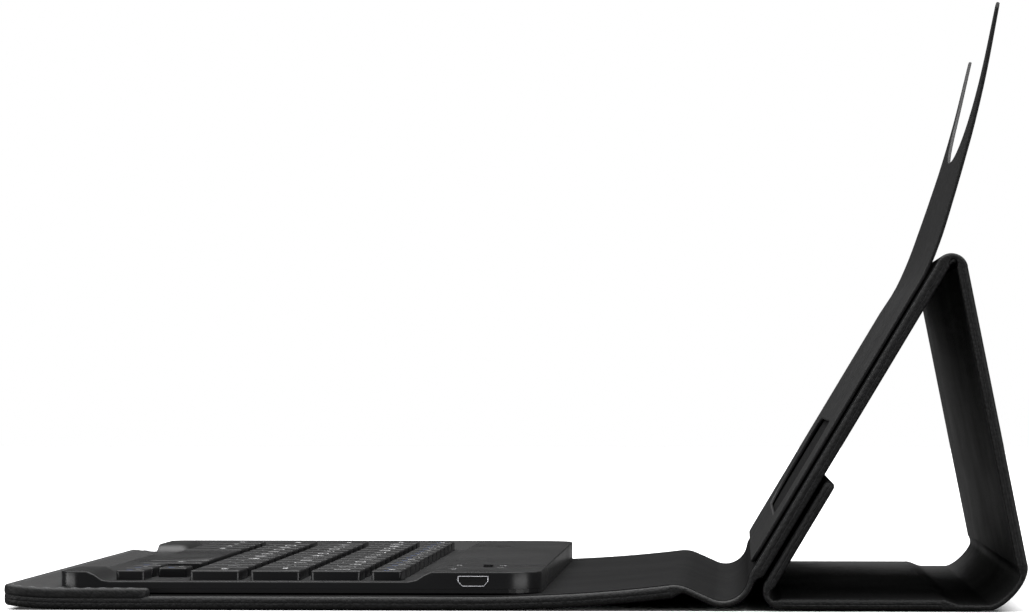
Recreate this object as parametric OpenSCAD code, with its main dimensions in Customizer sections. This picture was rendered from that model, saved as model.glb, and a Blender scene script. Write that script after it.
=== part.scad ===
// Tablet keyboard case: a leather cover that folds behind into a triangular stand,
// with a slim wireless keyboard held on it by magnets.
// +X is the user's right, +Y points away from the user and +Z is up.
// The origin is the middle of the front cover's flat underside.

/* [Case] */
// Width of the case
case_w = 262; // [260:1:320]
// Depth of the front cover, from its front edge to the spine
cover_d = 169.5; // [168:0.5:210]
// Thickness of the front cover, leather to lining
cover_t = 3.4; // [3:0.1:5]
// Corner radius of the front cover
cover_corner = 5; // [3:1:20]
// Thickness of the outer leather
leather_t = 0.9; // [0.7:0.1:1.2]
// Thickness of the lining
lining_t = 0.7; // [0.5:0.1:1]
// Length of the cover's rear end that curves up towards the spine
cover_rise_l = 50; // [45:1:60]
// Height that this end rises
cover_rise = 3; // [1:0.2:5]

/* [Keyboard stop on the cover] */
// Depth of the padded stop in front of the keyboard
stop_d = 12.5; // [8:0.5:20]
// Length of the stop's side arms, from the cover's front edge
stop_arm = 37.2; // [25:0.1:50]
// Height of the stop above the lining
stop_h = 1.8; // [1:0.1:2.5]

/* [Stand] */
// Tilt of the front panel from the table
tilt = 59; // [50:1:65]
// Length of the front panel
front_l = 90; // [80:1:110]
// Thickness of the front panel
front_t = 3.4; // [3:0.1:5]
// Steepness of the rear panel
rear_lean = 78.8; // [70:0.2:82]
// Thickness of the rear panel, the base and the tab
panel_t = 3; // [2.6:0.1:4]
// Fold radius at the ridge
ridge_r = 4.2; // [3.8:0.1:6]
// Fold radius at the heel
heel_r = 10; // [6:0.5:12]
// Length of the bare leather between the heel and the base's board
heel_flat = 12; // [4:1:16]
// Fold radius at the toe
toe_r = 5; // [4:0.5:7]
// Length of the tab that the magnets hold
tab_l = 30; // [22:1:36]
// Gap between the tab and the front panel
tab_gap = 0.8; // [0.5:0.1:1.5]

/* [Spine] */
// Radius of the spine's first bend, down from the cover
spine_drop_r = 9; // [7:0.5:11]
// Slope of the spine between its first two bends
spine_slope = 24; // [20:1:26]
// Straight length between these two bends
spine_run = 6.7; // [4:0.1:8]
// Radius of the spine's second bend, up to the stand
spine_rise_r = 6.5; // [5:0.1:8]
// Angle by which the second bend goes past the front panel's tilt
spine_over = 21; // [5:1:25]
// Radius of the third bend, back to the front panel's tilt
spine_back_r = 6; // [4:0.5:8]
// Straight length from the third bend to the front panel
spine_end = 1.5; // [1:0.1:3]

/* [Tablet holder] */
// Thickness of the holder sheet
sheet_t = 0.9; // [0.7:0.1:2]
// Distance from the sheet's side edges to the panel's side edges
sheet_inset = 6; // [3:0.5:12]
// Thickness of the glue strips behind the sheet
glue_t = 0.4; // [0.3:0.1:1]
// Distance along the front panel at which the flap's crease lies
crease_at = 78.5; // [72:0.5:79]
// Length of the flap above the crease
flap_l = 79; // [60:1:90]
// Bend of the flap just above its crease
flap_bend = 12; // [8:1:16]
// Further bend of the flap up to its tips
flap_curl = 7.5; // [0:0.5:12]
// Width of each of the flap's two tips
tip_w = 15; // [8:1:25]
// Depth of the scoop between the tips
scoop_depth = 31; // [20:1:40]
// Width of the window in the lower sheet
window_w = 150; // [100:5:180]
// Height of the window, along the sheet
window_l = 29; // [20:1:36]

/* [Keyboard] */
// Width of the keyboard
kb_w = 245; // [236:1:250]
// Depth of the keyboard
kb_d = 123.1; // [120:0.1:130]
// Gap between the keyboard's underside and the lining, filled by its feet
kb_foot_h = 0.5; // [0.4:0.1:1.5]
// Height of the rear block above the key bed
block_h = 2.5; // [1.9:0.1:3]
// Height of the front corner bosses above the key bed
boss_h = 2.5; // [1:0.1:3]
// Radius of the keyboard's rear corners
kb_rear_r = 10; // [5:0.5:12]
// Radius of the keyboard's front corners
kb_front_r = 5; // [3:0.5:8]
// Thickness of the keyboard's shells
shell_t = 0.6; // [0.6:0.1:1]
// Height at which the two shells meet, above the underside
parting_h = 1; // [0.9:0.1:1.2]

/* [Keys] */
// Distance from the keyboard's side to the first key
key_margin = 8.5; // [7:0.5:12]
// Gap between keys of one row
key_gap = 2.5; // [2:0.1:3]
// Height of the keycaps above the key bed
key_h = 2.4; // [1.8:0.1:2.8]
// Travel of a key
key_travel = 0.9; // [0.8:0.1:1.2]
// Clearance round a keycap in its opening
key_clear = 0.25; // [0.2:0.05:0.4]
// Depth of the row that holds the space bar
space_row_d = 16.2; // [15:0.1:18]
// Depth of the three letter rows
letter_row_d = 12.8; // [11:0.1:13]
// Depth of the number row
number_row_d = 7.8; // [7:0.1:8]
// Gap between two rows
row_gap = 2.8; // [1.6:0.1:2.9]

/* [Socket and switch] */
// Width of the charging socket
socket_w = 7.6; // [7.4:0.1:8]
// Height of the charging socket
socket_h = 2.5; // [2.3:0.1:2.7]
// Length of the charging socket into the keyboard
socket_l = 5.6; // [5:0.1:6]
// Distance from the keyboard's rear edge to the socket's middle
socket_back = 17.1; // [16:0.1:18]
// Travel of the power switch
switch_travel = 3; // [2:0.5:4]

/* [Hidden] */

part_gap = 0.3;              // running gap between pieces on two bodies
fit_gap = 0.05;              // gap between pieces that only lie together
flex_t = leather_t + lining_t;

// ---- a walk through the side view: each point is [y, z, heading] ----
// The lining lies on the walk, and the layers below it are offset to the right.
function right(h) = [sin(h), -cos(h)];
function ahead(h) = [cos(h), sin(h)];
function after_bend(p, h, r, turn) = p - sign(turn) * r * (right(h) - right(h + turn));
function straight(p, h, l) = [[p.x, p.y, h], [p.x + l * cos(h), p.y + l * sin(h), h]];
function bend(p, h, r, turn, n) =
    [for (k = [0 : n]) let (q = after_bend(p, h, r, turn * k / n)) [q.x, q.y, h + turn * k / n]];
function shifted(walk, a) = [for (q = walk) [q.x, q.y] + a * right(q.z)];
function after_first(list) = [for (k = [1 : len(list) - 1]) list[k]];
function backwards(list) = [for (k = [len(list) - 1 : -1 : 0]) list[k]];

module along_x(w) {
    rotate([90, 0, 90]) linear_extrude(w, center = true) children();
}

// A layer of the case between two depths below the walk
module layer(walk, low, high, w) {
    along_x(w) polygon(concat(shifted(walk, low), backwards(shifted(walk, high))));
}

// Outer leather with its edges turned up along both sides
module turned_leather(walk, t, w) {
    layer(walk, t - leather_t, t, w);
    for (side = [-1, 1])
        translate([side * (w - leather_t) / 2, 0, 0]) layer(walk, 0, t - leather_t, leather_t);
}

// Quarter circle of points for a rounded corner
function corner(c, r, from, n) =
    [for (k = [0 : n]) let (a = from + k * 90 / n) c + r * [cos(a), sin(a)]];
function rounded(x0, x1, y0, y1, front_r, rear_r, n = 8) = concat(
    corner([x1 - front_r, y0 + front_r], front_r, -90, n),
    corner([x1 - rear_r, y1 - rear_r], rear_r, 0, n),
    corner([x0 + rear_r, y1 - rear_r], rear_r, 90, n),
    corner([x0 + front_r, y0 + front_r], front_r, 180, n));

// ---- side view of the front cover ----
cover_front = -cover_d / 2;
rise_turn = 2 * atan(cover_rise / cover_rise_l);
rise_r = cover_rise_l / sin(rise_turn);
flat_end = [cover_d / 2 - cover_rise_l, cover_t];
cover_walk = concat(
    straight([cover_front, cover_t], 0, cover_d - cover_rise_l),
    bend(flat_end, 0, rise_r, rise_turn, 5));
cover_end = after_bend(flat_end, 0, rise_r, rise_turn);
// Height of the lining where the keyboard's rear edge lies over it
function lining_z(y) = cover_t + rise_r - sqrt(pow(rise_r, 2) - pow(max(y - flat_end.x, 0), 2));

// ---- side view of the spine ----
spine_start = cover_end + part_gap * ahead(rise_turn);
drop_turn = -(rise_turn + spine_slope);
spine_a = after_bend(spine_start, rise_turn, spine_drop_r, drop_turn);
spine_b = spine_a + spine_run * ahead(-spine_slope);
over_heading = tilt + spine_over;
rise_back = spine_slope + over_heading;
spine_c = after_bend(spine_b, -spine_slope, spine_rise_r, rise_back);
spine_d = after_bend(spine_c, over_heading, spine_back_r, -spine_over);
spine_walk = concat(
    bend(spine_start, rise_turn, spine_drop_r, drop_turn, 6),
    bend(spine_b, -spine_slope, spine_rise_r, rise_back, 10),
    after_first(bend(spine_c, over_heading, spine_back_r, -spine_over, 4)),
    [concat(spine_d + (spine_end - part_gap) * ahead(tilt), tilt)]);

// ---- side view of the stand, walked up the front panel and round to the tab ----
front_foot = spine_d + spine_end * ahead(tilt);
front_top = front_foot + front_l * ahead(tilt);
ridge_turn = -(tilt + rear_lean);
rear_top = after_bend(front_top, tilt, ridge_r, ridge_turn);
heel_turn = -(180 - rear_lean);
heel_drop = heel_r * (1 - cos(heel_turn));
rear_l = (rear_top.y - heel_drop) / sin(rear_lean);
rear_foot = rear_top + rear_l * ahead(-rear_lean);
heel_end = after_bend(rear_foot, -rear_lean, heel_r, heel_turn);
base_start = heel_end - [heel_flat, 0];
toe_turn = -(180 - tilt);
// The toe's place follows from the tab, which lies tab_gap behind the front panel
panel_back = front_foot + (front_t + tab_gap) * right(tilt);
toe_rise = toe_r * (1 - cos(toe_turn));
tab_start = panel_back + (toe_rise - panel_back.y) / sin(tilt) * ahead(tilt);
base_end = [tab_start.x - toe_r * sin(toe_turn), 0];
base_l = base_start.x - base_end.x;

// Each fold belongs to the panel before it and stays part_gap clear of the next
front_walk = straight(front_foot, tilt, front_l);
rear_walk = straight(rear_top + part_gap * ahead(-rear_lean), -rear_lean, rear_l - part_gap);
base_walk = straight(base_start - [part_gap, 0], 180, base_l - part_gap);
tab_walk = straight(tab_start + part_gap * ahead(tilt), tilt, tab_l);

// ---- side view of the tablet holder ----
sheet_w = case_w - 2 * sheet_inset;
sheet_back = -glue_t;
sheet_front = -(glue_t + sheet_t);
sheet_start = 0.5;
window_at = 12;
sheet_walk = straight(front_foot + sheet_start * ahead(tilt), tilt, crease_at - sheet_start - part_gap);
crease = front_foot + crease_at * ahead(tilt);
flap_low_l = 15;
flap_a_r = flap_low_l / (flap_bend * PI / 180);
flap_mid = after_bend(crease, tilt, flap_a_r, flap_bend);
flap_high_l = flap_l - flap_low_l;
flap_b_r = flap_high_l / (max(flap_curl, 0.1) * PI / 180);
flap_walk = concat(
    bend(crease, tilt, flap_a_r, flap_bend, 4),
    bend(flap_mid, tilt + flap_bend, flap_b_r, flap_curl, 5));
flap_top = shifted(flap_walk, sheet_front)[len(flap_walk) - 1].y;

// ---- heights and rows of the keyboard ----
stop_gap = 1;
floor_t = 0.6;
backplate_t = 0.2;
membrane_t = 0.15;
dome_rest = 0.1;             // height left of a rubber dome pressed flat
lip_t = 0.3;
lip_w = 0.25;
cap_top_t = 0.4;
cap_step = 0.5;
kb_front = cover_front + stop_d + stop_gap;
kb_rear = kb_front + kb_d;
kb_z = max(cover_t + kb_foot_h, lining_z(kb_rear) + 0.15);
floor_top = kb_z + floor_t;
membrane_top = floor_top + backplate_t + membrane_t;
lip_z = membrane_top + dome_rest + key_travel;
bed_low = lip_z + lip_t + fit_gap;
bed_z = bed_low + shell_t;
block_z = bed_z + block_h;
boss_z = bed_z + boss_h;
parting_z = kb_z + parting_h;

key_x0 = -kb_w / 2 + key_margin;
unit = (kb_w - 2 * key_margin + key_gap) / 13;
front_margin = 13.5;
space_gap = 2.9;
arrow_gap = 1.3;
block_gap = 3.4;
space_y = kb_front + front_margin;
bottom_y = space_y + space_row_d + space_gap;
middle_y = bottom_y + letter_row_d + row_gap;
top_y = middle_y + letter_row_d + row_gap;
number_y = top_y + letter_row_d + row_gap;
block_y = number_y + number_row_d + block_gap;
ramp = 4.5;

// Each row is its front edge, its depth and the widths of its keys in units
space_row = [space_y, space_row_d, [1, 1, 1, 1.25, 4.75, 1]];
arrow_d = (space_row_d - arrow_gap) / 2;
arrow_front_row = [space_y, arrow_d, [10, 1, 1, 1]];
arrow_rear_row = [space_y + space_row_d - arrow_d, arrow_d, [11, 1]];
bottom_row = [bottom_y, letter_row_d, [1.65, 1, 1, 1, 1, 1, 1, 1, 1, 1, 1, 1.35]];
middle_row = [middle_y, letter_row_d, [1.4, 1, 1, 1, 1, 1, 1, 1, 1, 1, 1, 1.6]];
top_row = [top_y, letter_row_d, [for (k = [1 : 13]) 1]];
number_row = [number_y, number_row_d, [for (k = [1 : 13]) 1]];
ALL_KEYS = concat(
    [for (k = [0 : 5]) [space_row, k]], [for (k = [1 : 3]) [arrow_front_row, k]], [[arrow_rear_row, 1]],
    [for (k = [0 : 11]) [bottom_row, k]], [for (k = [0 : 11]) [middle_row, k]],
    [for (k = [0 : 12]) [top_row, k]], [for (k = [0 : 12]) [number_row, k]]);

function units_before(widths, k) = k == 0 ? 0 : widths[k - 1] + units_before(widths, k - 1);
function key_left_x(row, k) = key_x0 + units_before(row[2], k) * unit;
function key_right_x(row, k) = key_left_x(row, k) + row[2][k] * unit - key_gap;
function key_mid(row, k) = [(key_left_x(row, k) + key_right_x(row, k)) / 2, row[0] + row[1] / 2];

// Outline of a key, grown by a margin
module key_outline(row, k, grow = 0) {
    r = 0.9 + max(grow, -0.5);
    polygon(rounded(key_left_x(row, k) - grow, key_right_x(row, k) + grow,
                    row[0] - grow, row[0] + row[1] + grow, r, r, 2));
}

module keycap(row, k) {
    translate([0, 0, lip_z]) linear_extrude(lip_t) key_outline(row, k, key_clear + lip_w);
    translate([0, 0, lip_z + lip_t])
        linear_extrude(bed_z + key_h - cap_top_t - lip_z - lip_t) key_outline(row, k);
    translate([0, 0, bed_z + key_h - cap_top_t]) linear_extrude(cap_top_t) key_outline(row, k, -cap_step);
}

module keycaps(row, first, last) {
    color([0.07, 0.07, 0.075]) for (k = [first : last]) keycap(row, k);
}

// ---- front cover ----
module cover_plan(grow, r) {
    translate([0, 0, -1]) linear_extrude(cover_t + cover_rise + 4)
        polygon(rounded(-case_w / 2 - grow, case_w / 2 + grow, cover_front - grow, cover_d / 2 + 9, r, 1));
}

module cover_leather() {
    color([0.05, 0.05, 0.052]) difference() {
        intersection() {
            layer(cover_walk, 0, cover_t, case_w);
            cover_plan(0, cover_corner);
        }
        intersection() {
            layer(concat(cover_walk, [concat(cover_end + 3 * ahead(rise_turn), rise_turn)]),
                  -2, cover_t - leather_t, case_w);
            cover_plan(-leather_t, cover_corner - leather_t);
        }
    }
}

magnet_r = 5;
magnet_t = 1.2;
rear_magnet_y = min(kb_rear - 14, flat_end.x - magnet_r - 1);
cover_magnet_spots = [for (sx = [-1, 1]) for (y = [kb_front + 45, rear_magnet_y]) [sx * kb_w / 4, y]];

module cover_board() {
    color([0.55, 0.5, 0.42]) difference() {
        intersection() {
            layer(cover_walk, lining_t, cover_t - leather_t, case_w);
            cover_plan(-leather_t, cover_corner - leather_t);
        }
        for (spot = cover_magnet_spots)
            translate([spot.x, spot.y, -1]) cylinder(h = cover_t + 2, r = magnet_r + 0.1, $fn = 48);
    }
}

module cover_magnets() {
    color([0.7, 0.7, 0.72]) for (spot = cover_magnet_spots)
        translate([spot.x, spot.y, leather_t]) cylinder(h = magnet_t, r = magnet_r, $fn = 48);
}

module cover_lining() {
    color([0.08, 0.08, 0.082]) intersection() {
        layer(cover_walk, 0, lining_t, case_w);
        cover_plan(-leather_t, cover_corner - leather_t);
    }
}

// Padded leather stop, a front bar with two arms beside the keyboard
module keyboard_stop() {
    arm_gap = 0.6;
    color([0.05, 0.05, 0.052]) translate([0, 0, cover_t]) linear_extrude(stop_h) difference() {
        polygon(rounded(-case_w / 2, case_w / 2, cover_front, cover_front + stop_arm, cover_corner, 1));
        polygon(rounded(-kb_w / 2 - arm_gap, kb_w / 2 + arm_gap,
                        cover_front + stop_d, cover_front + stop_arm + 5, kb_front_r, 1));
    }
}

// ---- spine ----
module spine_leather() {
    color([0.05, 0.05, 0.052]) layer(spine_walk, lining_t, flex_t, case_w);
}

module spine_lining() {
    color([0.08, 0.08, 0.082]) layer(spine_walk, 0, lining_t, case_w - 2 * leather_t);
}

// ---- front panel ----
module front_panel_leather() {
    color([0.05, 0.05, 0.052]) turned_leather(front_walk, front_t, case_w);
}

steel_t = 0.5;
steel_d = 20;
steel_w = 180;
steel_at = tab_l - 24;
steel_walk = straight(front_foot + steel_at * ahead(tilt), tilt, steel_d);
steel_low = front_t - leather_t - steel_t;

module front_panel_board() {
    color([0.55, 0.5, 0.42]) difference() {
        layer(front_walk, lining_t, front_t - leather_t, case_w - 2 * leather_t);
        layer(straight(front_foot + (steel_at - fit_gap) * ahead(tilt), tilt, steel_d + 2 * fit_gap),
              steel_low - fit_gap, front_t, steel_w + 2 * fit_gap);
    }
}

module front_panel_steel_strip() {
    color([0.6, 0.6, 0.62]) layer(steel_walk, steel_low, front_t - leather_t, steel_w);
}

module front_panel_lining() {
    color([0.08, 0.08, 0.082]) layer(front_walk, 0, lining_t, case_w - 2 * leather_t);
}

// ---- tablet holder ----
module holder_glue_strips() {
    strip_l = 5;
    color([0.2, 0.2, 0.2]) for (at = [sheet_start + 1, window_at + window_l + 3])
        layer(straight(front_foot + at * ahead(tilt), tilt, strip_l), fit_gap - glue_t, 0, sheet_w - 20);
}

module holder_sheet() {
    window_r = 12;
    cut_low = (front_foot + window_at * ahead(tilt)).y;
    cut_high = (front_foot + (window_at + window_l) * ahead(tilt)).y;
    color([0.06, 0.06, 0.062]) difference() {
        layer(sheet_walk, sheet_front, sheet_back, sheet_w);
        translate([0, front_top.x, 0]) rotate([90, 0, 0]) linear_extrude(front_l)
            polygon(rounded(-window_w / 2, window_w / 2, cut_low, cut_high, window_r, window_r));
    }
}

// Upper part of the holder, with a scoop that leaves a pointed tip at each side
module holder_flap() {
    half = sheet_w / 2;
    shoulder = half * 0.6;
    scoop_half = half * 0.4;
    color([0.06, 0.06, 0.062]) difference() {
        layer(flap_walk, sheet_front, sheet_back, sheet_w);
        translate([0, crease.x + flap_l, 0]) rotate([90, 0, 0]) linear_extrude(2 * flap_l) polygon([
            [-half + tip_w, flap_top + 1], [-shoulder, flap_top - 0.4 * scoop_depth],
            [-scoop_half, flap_top - scoop_depth], [scoop_half, flap_top - scoop_depth],
            [shoulder, flap_top - 0.4 * scoop_depth], [half - tip_w, flap_top + 1]]);
    }
}

// ---- folds of bare leather and lining ----
module ridge_fold() {
    color([0.05, 0.05, 0.052])
        layer(bend(front_top, tilt, ridge_r, ridge_turn, 12), 0, flex_t, case_w);
}

module heel_fold() {
    color([0.05, 0.05, 0.052])
        layer(concat(bend(rear_foot, -rear_lean, heel_r, heel_turn, 12), [concat(base_start, 180)]),
              0, flex_t, case_w);
}

module toe_fold() {
    color([0.05, 0.05, 0.052])
        layer(bend(base_end, 180, toe_r, toe_turn, 12), 0, flex_t, case_w);
}

// ---- rear panel, base and tab ----
module panel_board(walk) {
    color([0.55, 0.5, 0.42]) layer(walk, lining_t, panel_t - leather_t, case_w - 2 * leather_t);
}

module panel_lining(walk) {
    color([0.08, 0.08, 0.082]) layer(walk, 0, lining_t, case_w - 2 * leather_t);
}

module panel_leather(walk) {
    color([0.05, 0.05, 0.052]) turned_leather(walk, panel_t, case_w);
}

module rear_panel_leather() { panel_leather(rear_walk); }
module rear_panel_board() { panel_board(rear_walk); }
module rear_panel_lining() { panel_lining(rear_walk); }
module base_leather() { panel_leather(base_walk); }
module base_board() { panel_board(base_walk); }
module base_lining() { panel_lining(base_walk); }

tab_magnet_spots = [for (k = [-1.5, -0.5, 0.5, 1.5]) k * 48];
tab_inner_walk = straight(tab_start + part_gap * ahead(tilt), tilt, tab_l - leather_t);

module tab_leather() {
    panel_leather(tab_inner_walk);
    color([0.05, 0.05, 0.052])
        layer(straight(tab_start + (part_gap + tab_l - leather_t) * ahead(tilt), tilt, leather_t),
              0, panel_t, case_w);
}

module at_tab(along, depth) {
    spot = tab_start + along * ahead(tilt) + depth * right(tilt);
    for (x = tab_magnet_spots)
        translate([x, spot.x, spot.y]) rotate([tilt - 180, 0, 0]) children();
}

module tab_board() {
    color([0.55, 0.5, 0.42]) difference() {
        layer(tab_inner_walk, lining_t, panel_t - leather_t, case_w - 2 * leather_t);
        at_tab(tab_l / 2, lining_t - 1) cylinder(h = panel_t + 2, r = magnet_r + 0.1, $fn = 48);
    }
}

module tab_lining() { panel_lining(tab_inner_walk); }

module tab_magnets() {
    color([0.7, 0.7, 0.72]) at_tab(tab_l / 2, lining_t + fit_gap)
        cylinder(h = magnet_t, r = magnet_r, $fn = 48);
}

// ---- keyboard shells ----
module kb_plan(grow, z0, z1) {
    translate([0, 0, z0]) linear_extrude(z1 - z0)
        polygon(rounded(-kb_w / 2 - grow, kb_w / 2 + grow, kb_front - grow, kb_rear + grow,
                        kb_front_r + grow, kb_rear_r + grow));
}

wall_t = 1.2;
boss_flat = 7;
boss_l = 12;
boss_w = 45;
boss_end = 12;
socket_y = kb_rear - socket_back;
socket_z = floor_top + 1.15 + socket_h / 2;
switch_spot = [kb_w / 2 - 34.5, kb_rear - 15];
switch_slot = [switch_travel + 5, 3];
lens_spots = [for (k = [0 : 2]) [kb_w / 2 - 20 - 12.5 * k, block_y + ramp + 2.4]];
lens_r = 0.9;
// Each screw is its x, its y and the height of the ceiling above it
block_low = block_z - shell_t;
screw_spots = concat(
    [for (sx = [-1, 1]) [sx * (kb_w / 2 - 9), kb_front + 6.5, boss_z - shell_t]],
    [for (sx = [-1, 1]) [sx * (kb_w / 2 - 12), kb_rear - 7, block_low]],
    [for (sx = [-1, 1]) [sx * kb_w / 10, kb_rear - 3.6, block_low]]);
pillar_r = 2.4;
pillar_low = 0.75;
screw_r = 0.7;
head_r = 1.5;
head_h = 0.5;

// Depth to which the rear block and the bosses reach into the bed
root_t = 0.5;

// Side view of the rear block, lowered by a wall thickness for its inside
module block_side(low) {
    polygon([[block_y, bed_z - low - root_t], [block_y, bed_z - low], [block_y + ramp, block_z - low],
             [kb_rear + 1, block_z - low], [kb_rear + 1, bed_z - low - root_t]]);
}

// One view of a boss, flat on top from start to flat_to and then curved down to the bed at low_at
module boss_view(start, flat_to, low_at) {
    slope = [for (k = [0 : 6]) let (t = k / 6)
        [flat_to + (low_at - flat_to) * t, bed_z + boss_h * (1 + cos(180 * t)) / 2]];
    polygon(concat([[start, bed_z - root_t], [start, boss_z]], slope, [[low_at, bed_z - root_t]]));
}

// Boss at the right front corner, curved down towards the keys and the middle
module boss() {
    side = kb_w / 2;
    intersection() {
        along_x(kb_w) boss_view(kb_front - 1, kb_front + boss_flat, kb_front + boss_l);
        translate([0, kb_front + boss_l + 1, 0]) rotate([90, 0, 0]) linear_extrude(boss_l + 2)
            boss_view(side + 1, side - boss_w + boss_end, side - boss_w);
    }
}

module keyboard_body() {
    kb_plan(0, parting_z + fit_gap, bed_z);
    intersection() {
        kb_plan(0, bed_low, boss_z + block_z);
        union() {
            along_x(kb_w) block_side(0);
            boss();
            mirror([1, 0, 0]) boss();
        }
    }
}

// A round column at every screw, up to one height
module columns(r, z0, z1) {
    for (spot = screw_spots) translate([spot.x, spot.y, z0]) cylinder(h = z1 - z0, r = r, $fn = 32);
}

// A round column at every screw, up to a margin above the ceiling there
module columns_to_ceiling(r, z0, margin) {
    for (spot = screw_spots)
        translate([spot.x, spot.y, z0]) cylinder(h = spot.z + margin - z0, r = r, $fn = 32);
}

module keyboard_top_shell() {
    color([0.06, 0.06, 0.065]) difference() {
        union() {
            difference() {
                keyboard_body();
                kb_plan(-wall_t, parting_z - 1, bed_low);
                intersection() {
                    kb_plan(-wall_t, bed_low - 1, block_z);
                    along_x(kb_w) block_side(shell_t);
                }
            }
            columns_to_ceiling(pillar_r, floor_top + pillar_low + fit_gap, 0.1);
        }
        for (key = ALL_KEYS)
            translate([0, 0, bed_low - 1]) linear_extrude(shell_t + 2) key_outline(key[0], key[1], key_clear);
        columns_to_ceiling(screw_r + 0.06, floor_top, -0.4);
        translate([kb_w / 2, socket_y, socket_z]) rotate([90, 0, -90])
            translate([0, 0, -1]) linear_extrude(wall_t + 2) socket_outline(0.15);
        translate([switch_spot.x, switch_spot.y, block_z])
            cube([switch_slot.x, switch_slot.y, 4], center = true);
        for (spot = lens_spots)
            translate([spot.x, spot.y, block_z - 3]) cylinder(h = 4, r = lens_r + 0.06, $fn = 32);
    }
}

module keyboard_bottom_shell() {
    color([0.05, 0.05, 0.055]) difference() {
        union() {
            kb_plan(0, kb_z, floor_top);
            difference() {
                kb_plan(0, floor_top, parting_z);
                kb_plan(-wall_t, floor_top - 0.1, parting_z + 1);
            }
            columns(pillar_r, floor_top - 0.1, floor_top + pillar_low);
        }
        columns(screw_r + 0.06, kb_z - 1, floor_top + 2);
        columns(head_r + 0.06, kb_z - 1, kb_z + head_h);
    }
}

module shell_screws() {
    color([0.3, 0.3, 0.32]) {
        columns_to_ceiling(screw_r, kb_z + fit_gap, -0.6);
        columns(head_r, kb_z + fit_gap, kb_z + head_h);
    }
}

// ---- inside the keyboard ----
key_area_front = space_y - 2;
key_area_rear = block_y - 1;

module key_area(z, t) {
    translate([0, 0, z]) linear_extrude(t)
        polygon(rounded(-kb_w / 2 + wall_t + 1, kb_w / 2 - wall_t - 1, key_area_front, key_area_rear, 2, 2));
}

module key_backplate() {
    color([0.6, 0.6, 0.62]) key_area(floor_top, backplate_t);
}

module switch_membrane() {
    color([0.75, 0.8, 0.75]) key_area(floor_top + backplate_t, membrane_t);
}

module rubber_domes() {
    dome_h = lip_z - membrane_top;
    color([0.85, 0.85, 0.82]) for (key = ALL_KEYS) {
        mid = key_mid(key[0], key[1]);
        translate([mid.x, mid.y, membrane_top]) cylinder(h = dome_h, r1 = 2.8, r2 = 1.8, $fn = 24);
    }
}

board_w = 70;
board_t = 0.9;
board_x0 = kb_w / 2 - wall_t - 0.4 - board_w;
bay_y0 = block_y + ramp;
bay_d = min(24, kb_rear - wall_t - 0.4 - bay_y0);

module circuit_board() {
    color([0.05, 0.25, 0.12]) difference() {
        translate([board_x0, bay_y0, floor_top]) cube([board_w, bay_d, board_t]);
        columns(pillar_r + 0.2, floor_top - 1, floor_top + 3);
        translate([kb_w / 2 - wall_t - kb_rear_r, kb_rear - wall_t - kb_rear_r, floor_top - 1])
            difference() {
                cube([2 * kb_rear_r, 2 * kb_rear_r, 3]);
                translate([0, 0, -1]) cylinder(h = 5, r = kb_rear_r - 0.4, $fn = 48);
            }
    }
}

module battery() {
    battery_w = 84;
    battery_d = bay_d - 3;
    battery_h = 3.2;
    battery_x0 = board_x0 - 12 - battery_w;
    color([0.75, 0.76, 0.78]) translate([battery_x0, bay_y0, floor_top]) linear_extrude(battery_h)
        difference() {
            polygon(rounded(0, battery_w, 0, battery_d, 1.5, 1.5));
            for (spot = screw_spots)
                translate([spot.x - battery_x0, spot.y - bay_y0]) circle(r = pillar_r + 0.3, $fn = 32);
        }
}

// Trapezoid mouth of the socket, seen from outside the keyboard
module socket_outline(grow) {
    half = socket_w / 2 + grow;
    top = socket_h / 2 + grow;
    taper = 1.1;
    polygon([
        [-half, top], [-half, -0.1], [taper - half, -top],
        [half - taper, -top], [half, -0.1], [half, top]]);
}

module charging_socket() {
    wall = 0.3;
    tongue = [3.8, 0.6];
    color([0.75, 0.75, 0.77]) translate([kb_w / 2, socket_y, socket_z]) rotate([90, 0, -90])
        translate([0, 0, 0.1]) {
            linear_extrude(socket_l) difference() {
                socket_outline(0);
                socket_outline(-wall);
            }
            translate([0, 0, socket_l - 0.5]) linear_extrude(0.5) socket_outline(-wall / 2);
            translate([0, 0.35, 0.8]) linear_extrude(socket_l - 1) square(tongue, center = true);
        }
}

module power_switch() {
    plate_t = 0.6;
    slider = [4.4, switch_slot.y - 0.5];
    plate = [switch_slot.x - 2, switch_slot.y + 1.2];
    base_z = block_z - shell_t - fit_gap - plate_t;
    color([0.1, 0.1, 0.1]) translate([switch_spot.x - switch_travel / 2, switch_spot.y, base_z]) {
        translate([-plate.x / 2, -plate.y / 2, 0]) cube([plate.x, plate.y, plate_t]);
        translate([-slider.x / 2, -slider.y / 2, plate_t]) cube([slider.x, slider.y, shell_t + 0.35]);
        for (k = [-1, 0, 1])
            translate([k * 1.2 - 0.25, -slider.y / 2, plate_t + shell_t + 0.35]) cube([0.5, slider.y, 0.25]);
    }
}

module indicator_lenses() {
    color([0.8, 0.85, 0.9]) for (spot = lens_spots)
        translate([spot.x, spot.y, block_z - shell_t - 1]) {
            cylinder(h = shell_t + 1, r = lens_r, $fn = 32);
            cylinder(h = 0.8, r = lens_r + 0.5, $fn = 32);
        }
}

keyboard_magnet_r = 3;

module keyboard_magnets() {
    color([0.7, 0.7, 0.72]) for (sx = [-1, 1]) for (x = [kb_w / 4, kb_w / 2 - 26])
        translate([sx * x, kb_front + 6, floor_top]) cylinder(h = 1.5, r = keyboard_magnet_r, $fn = 32);
}

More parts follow.
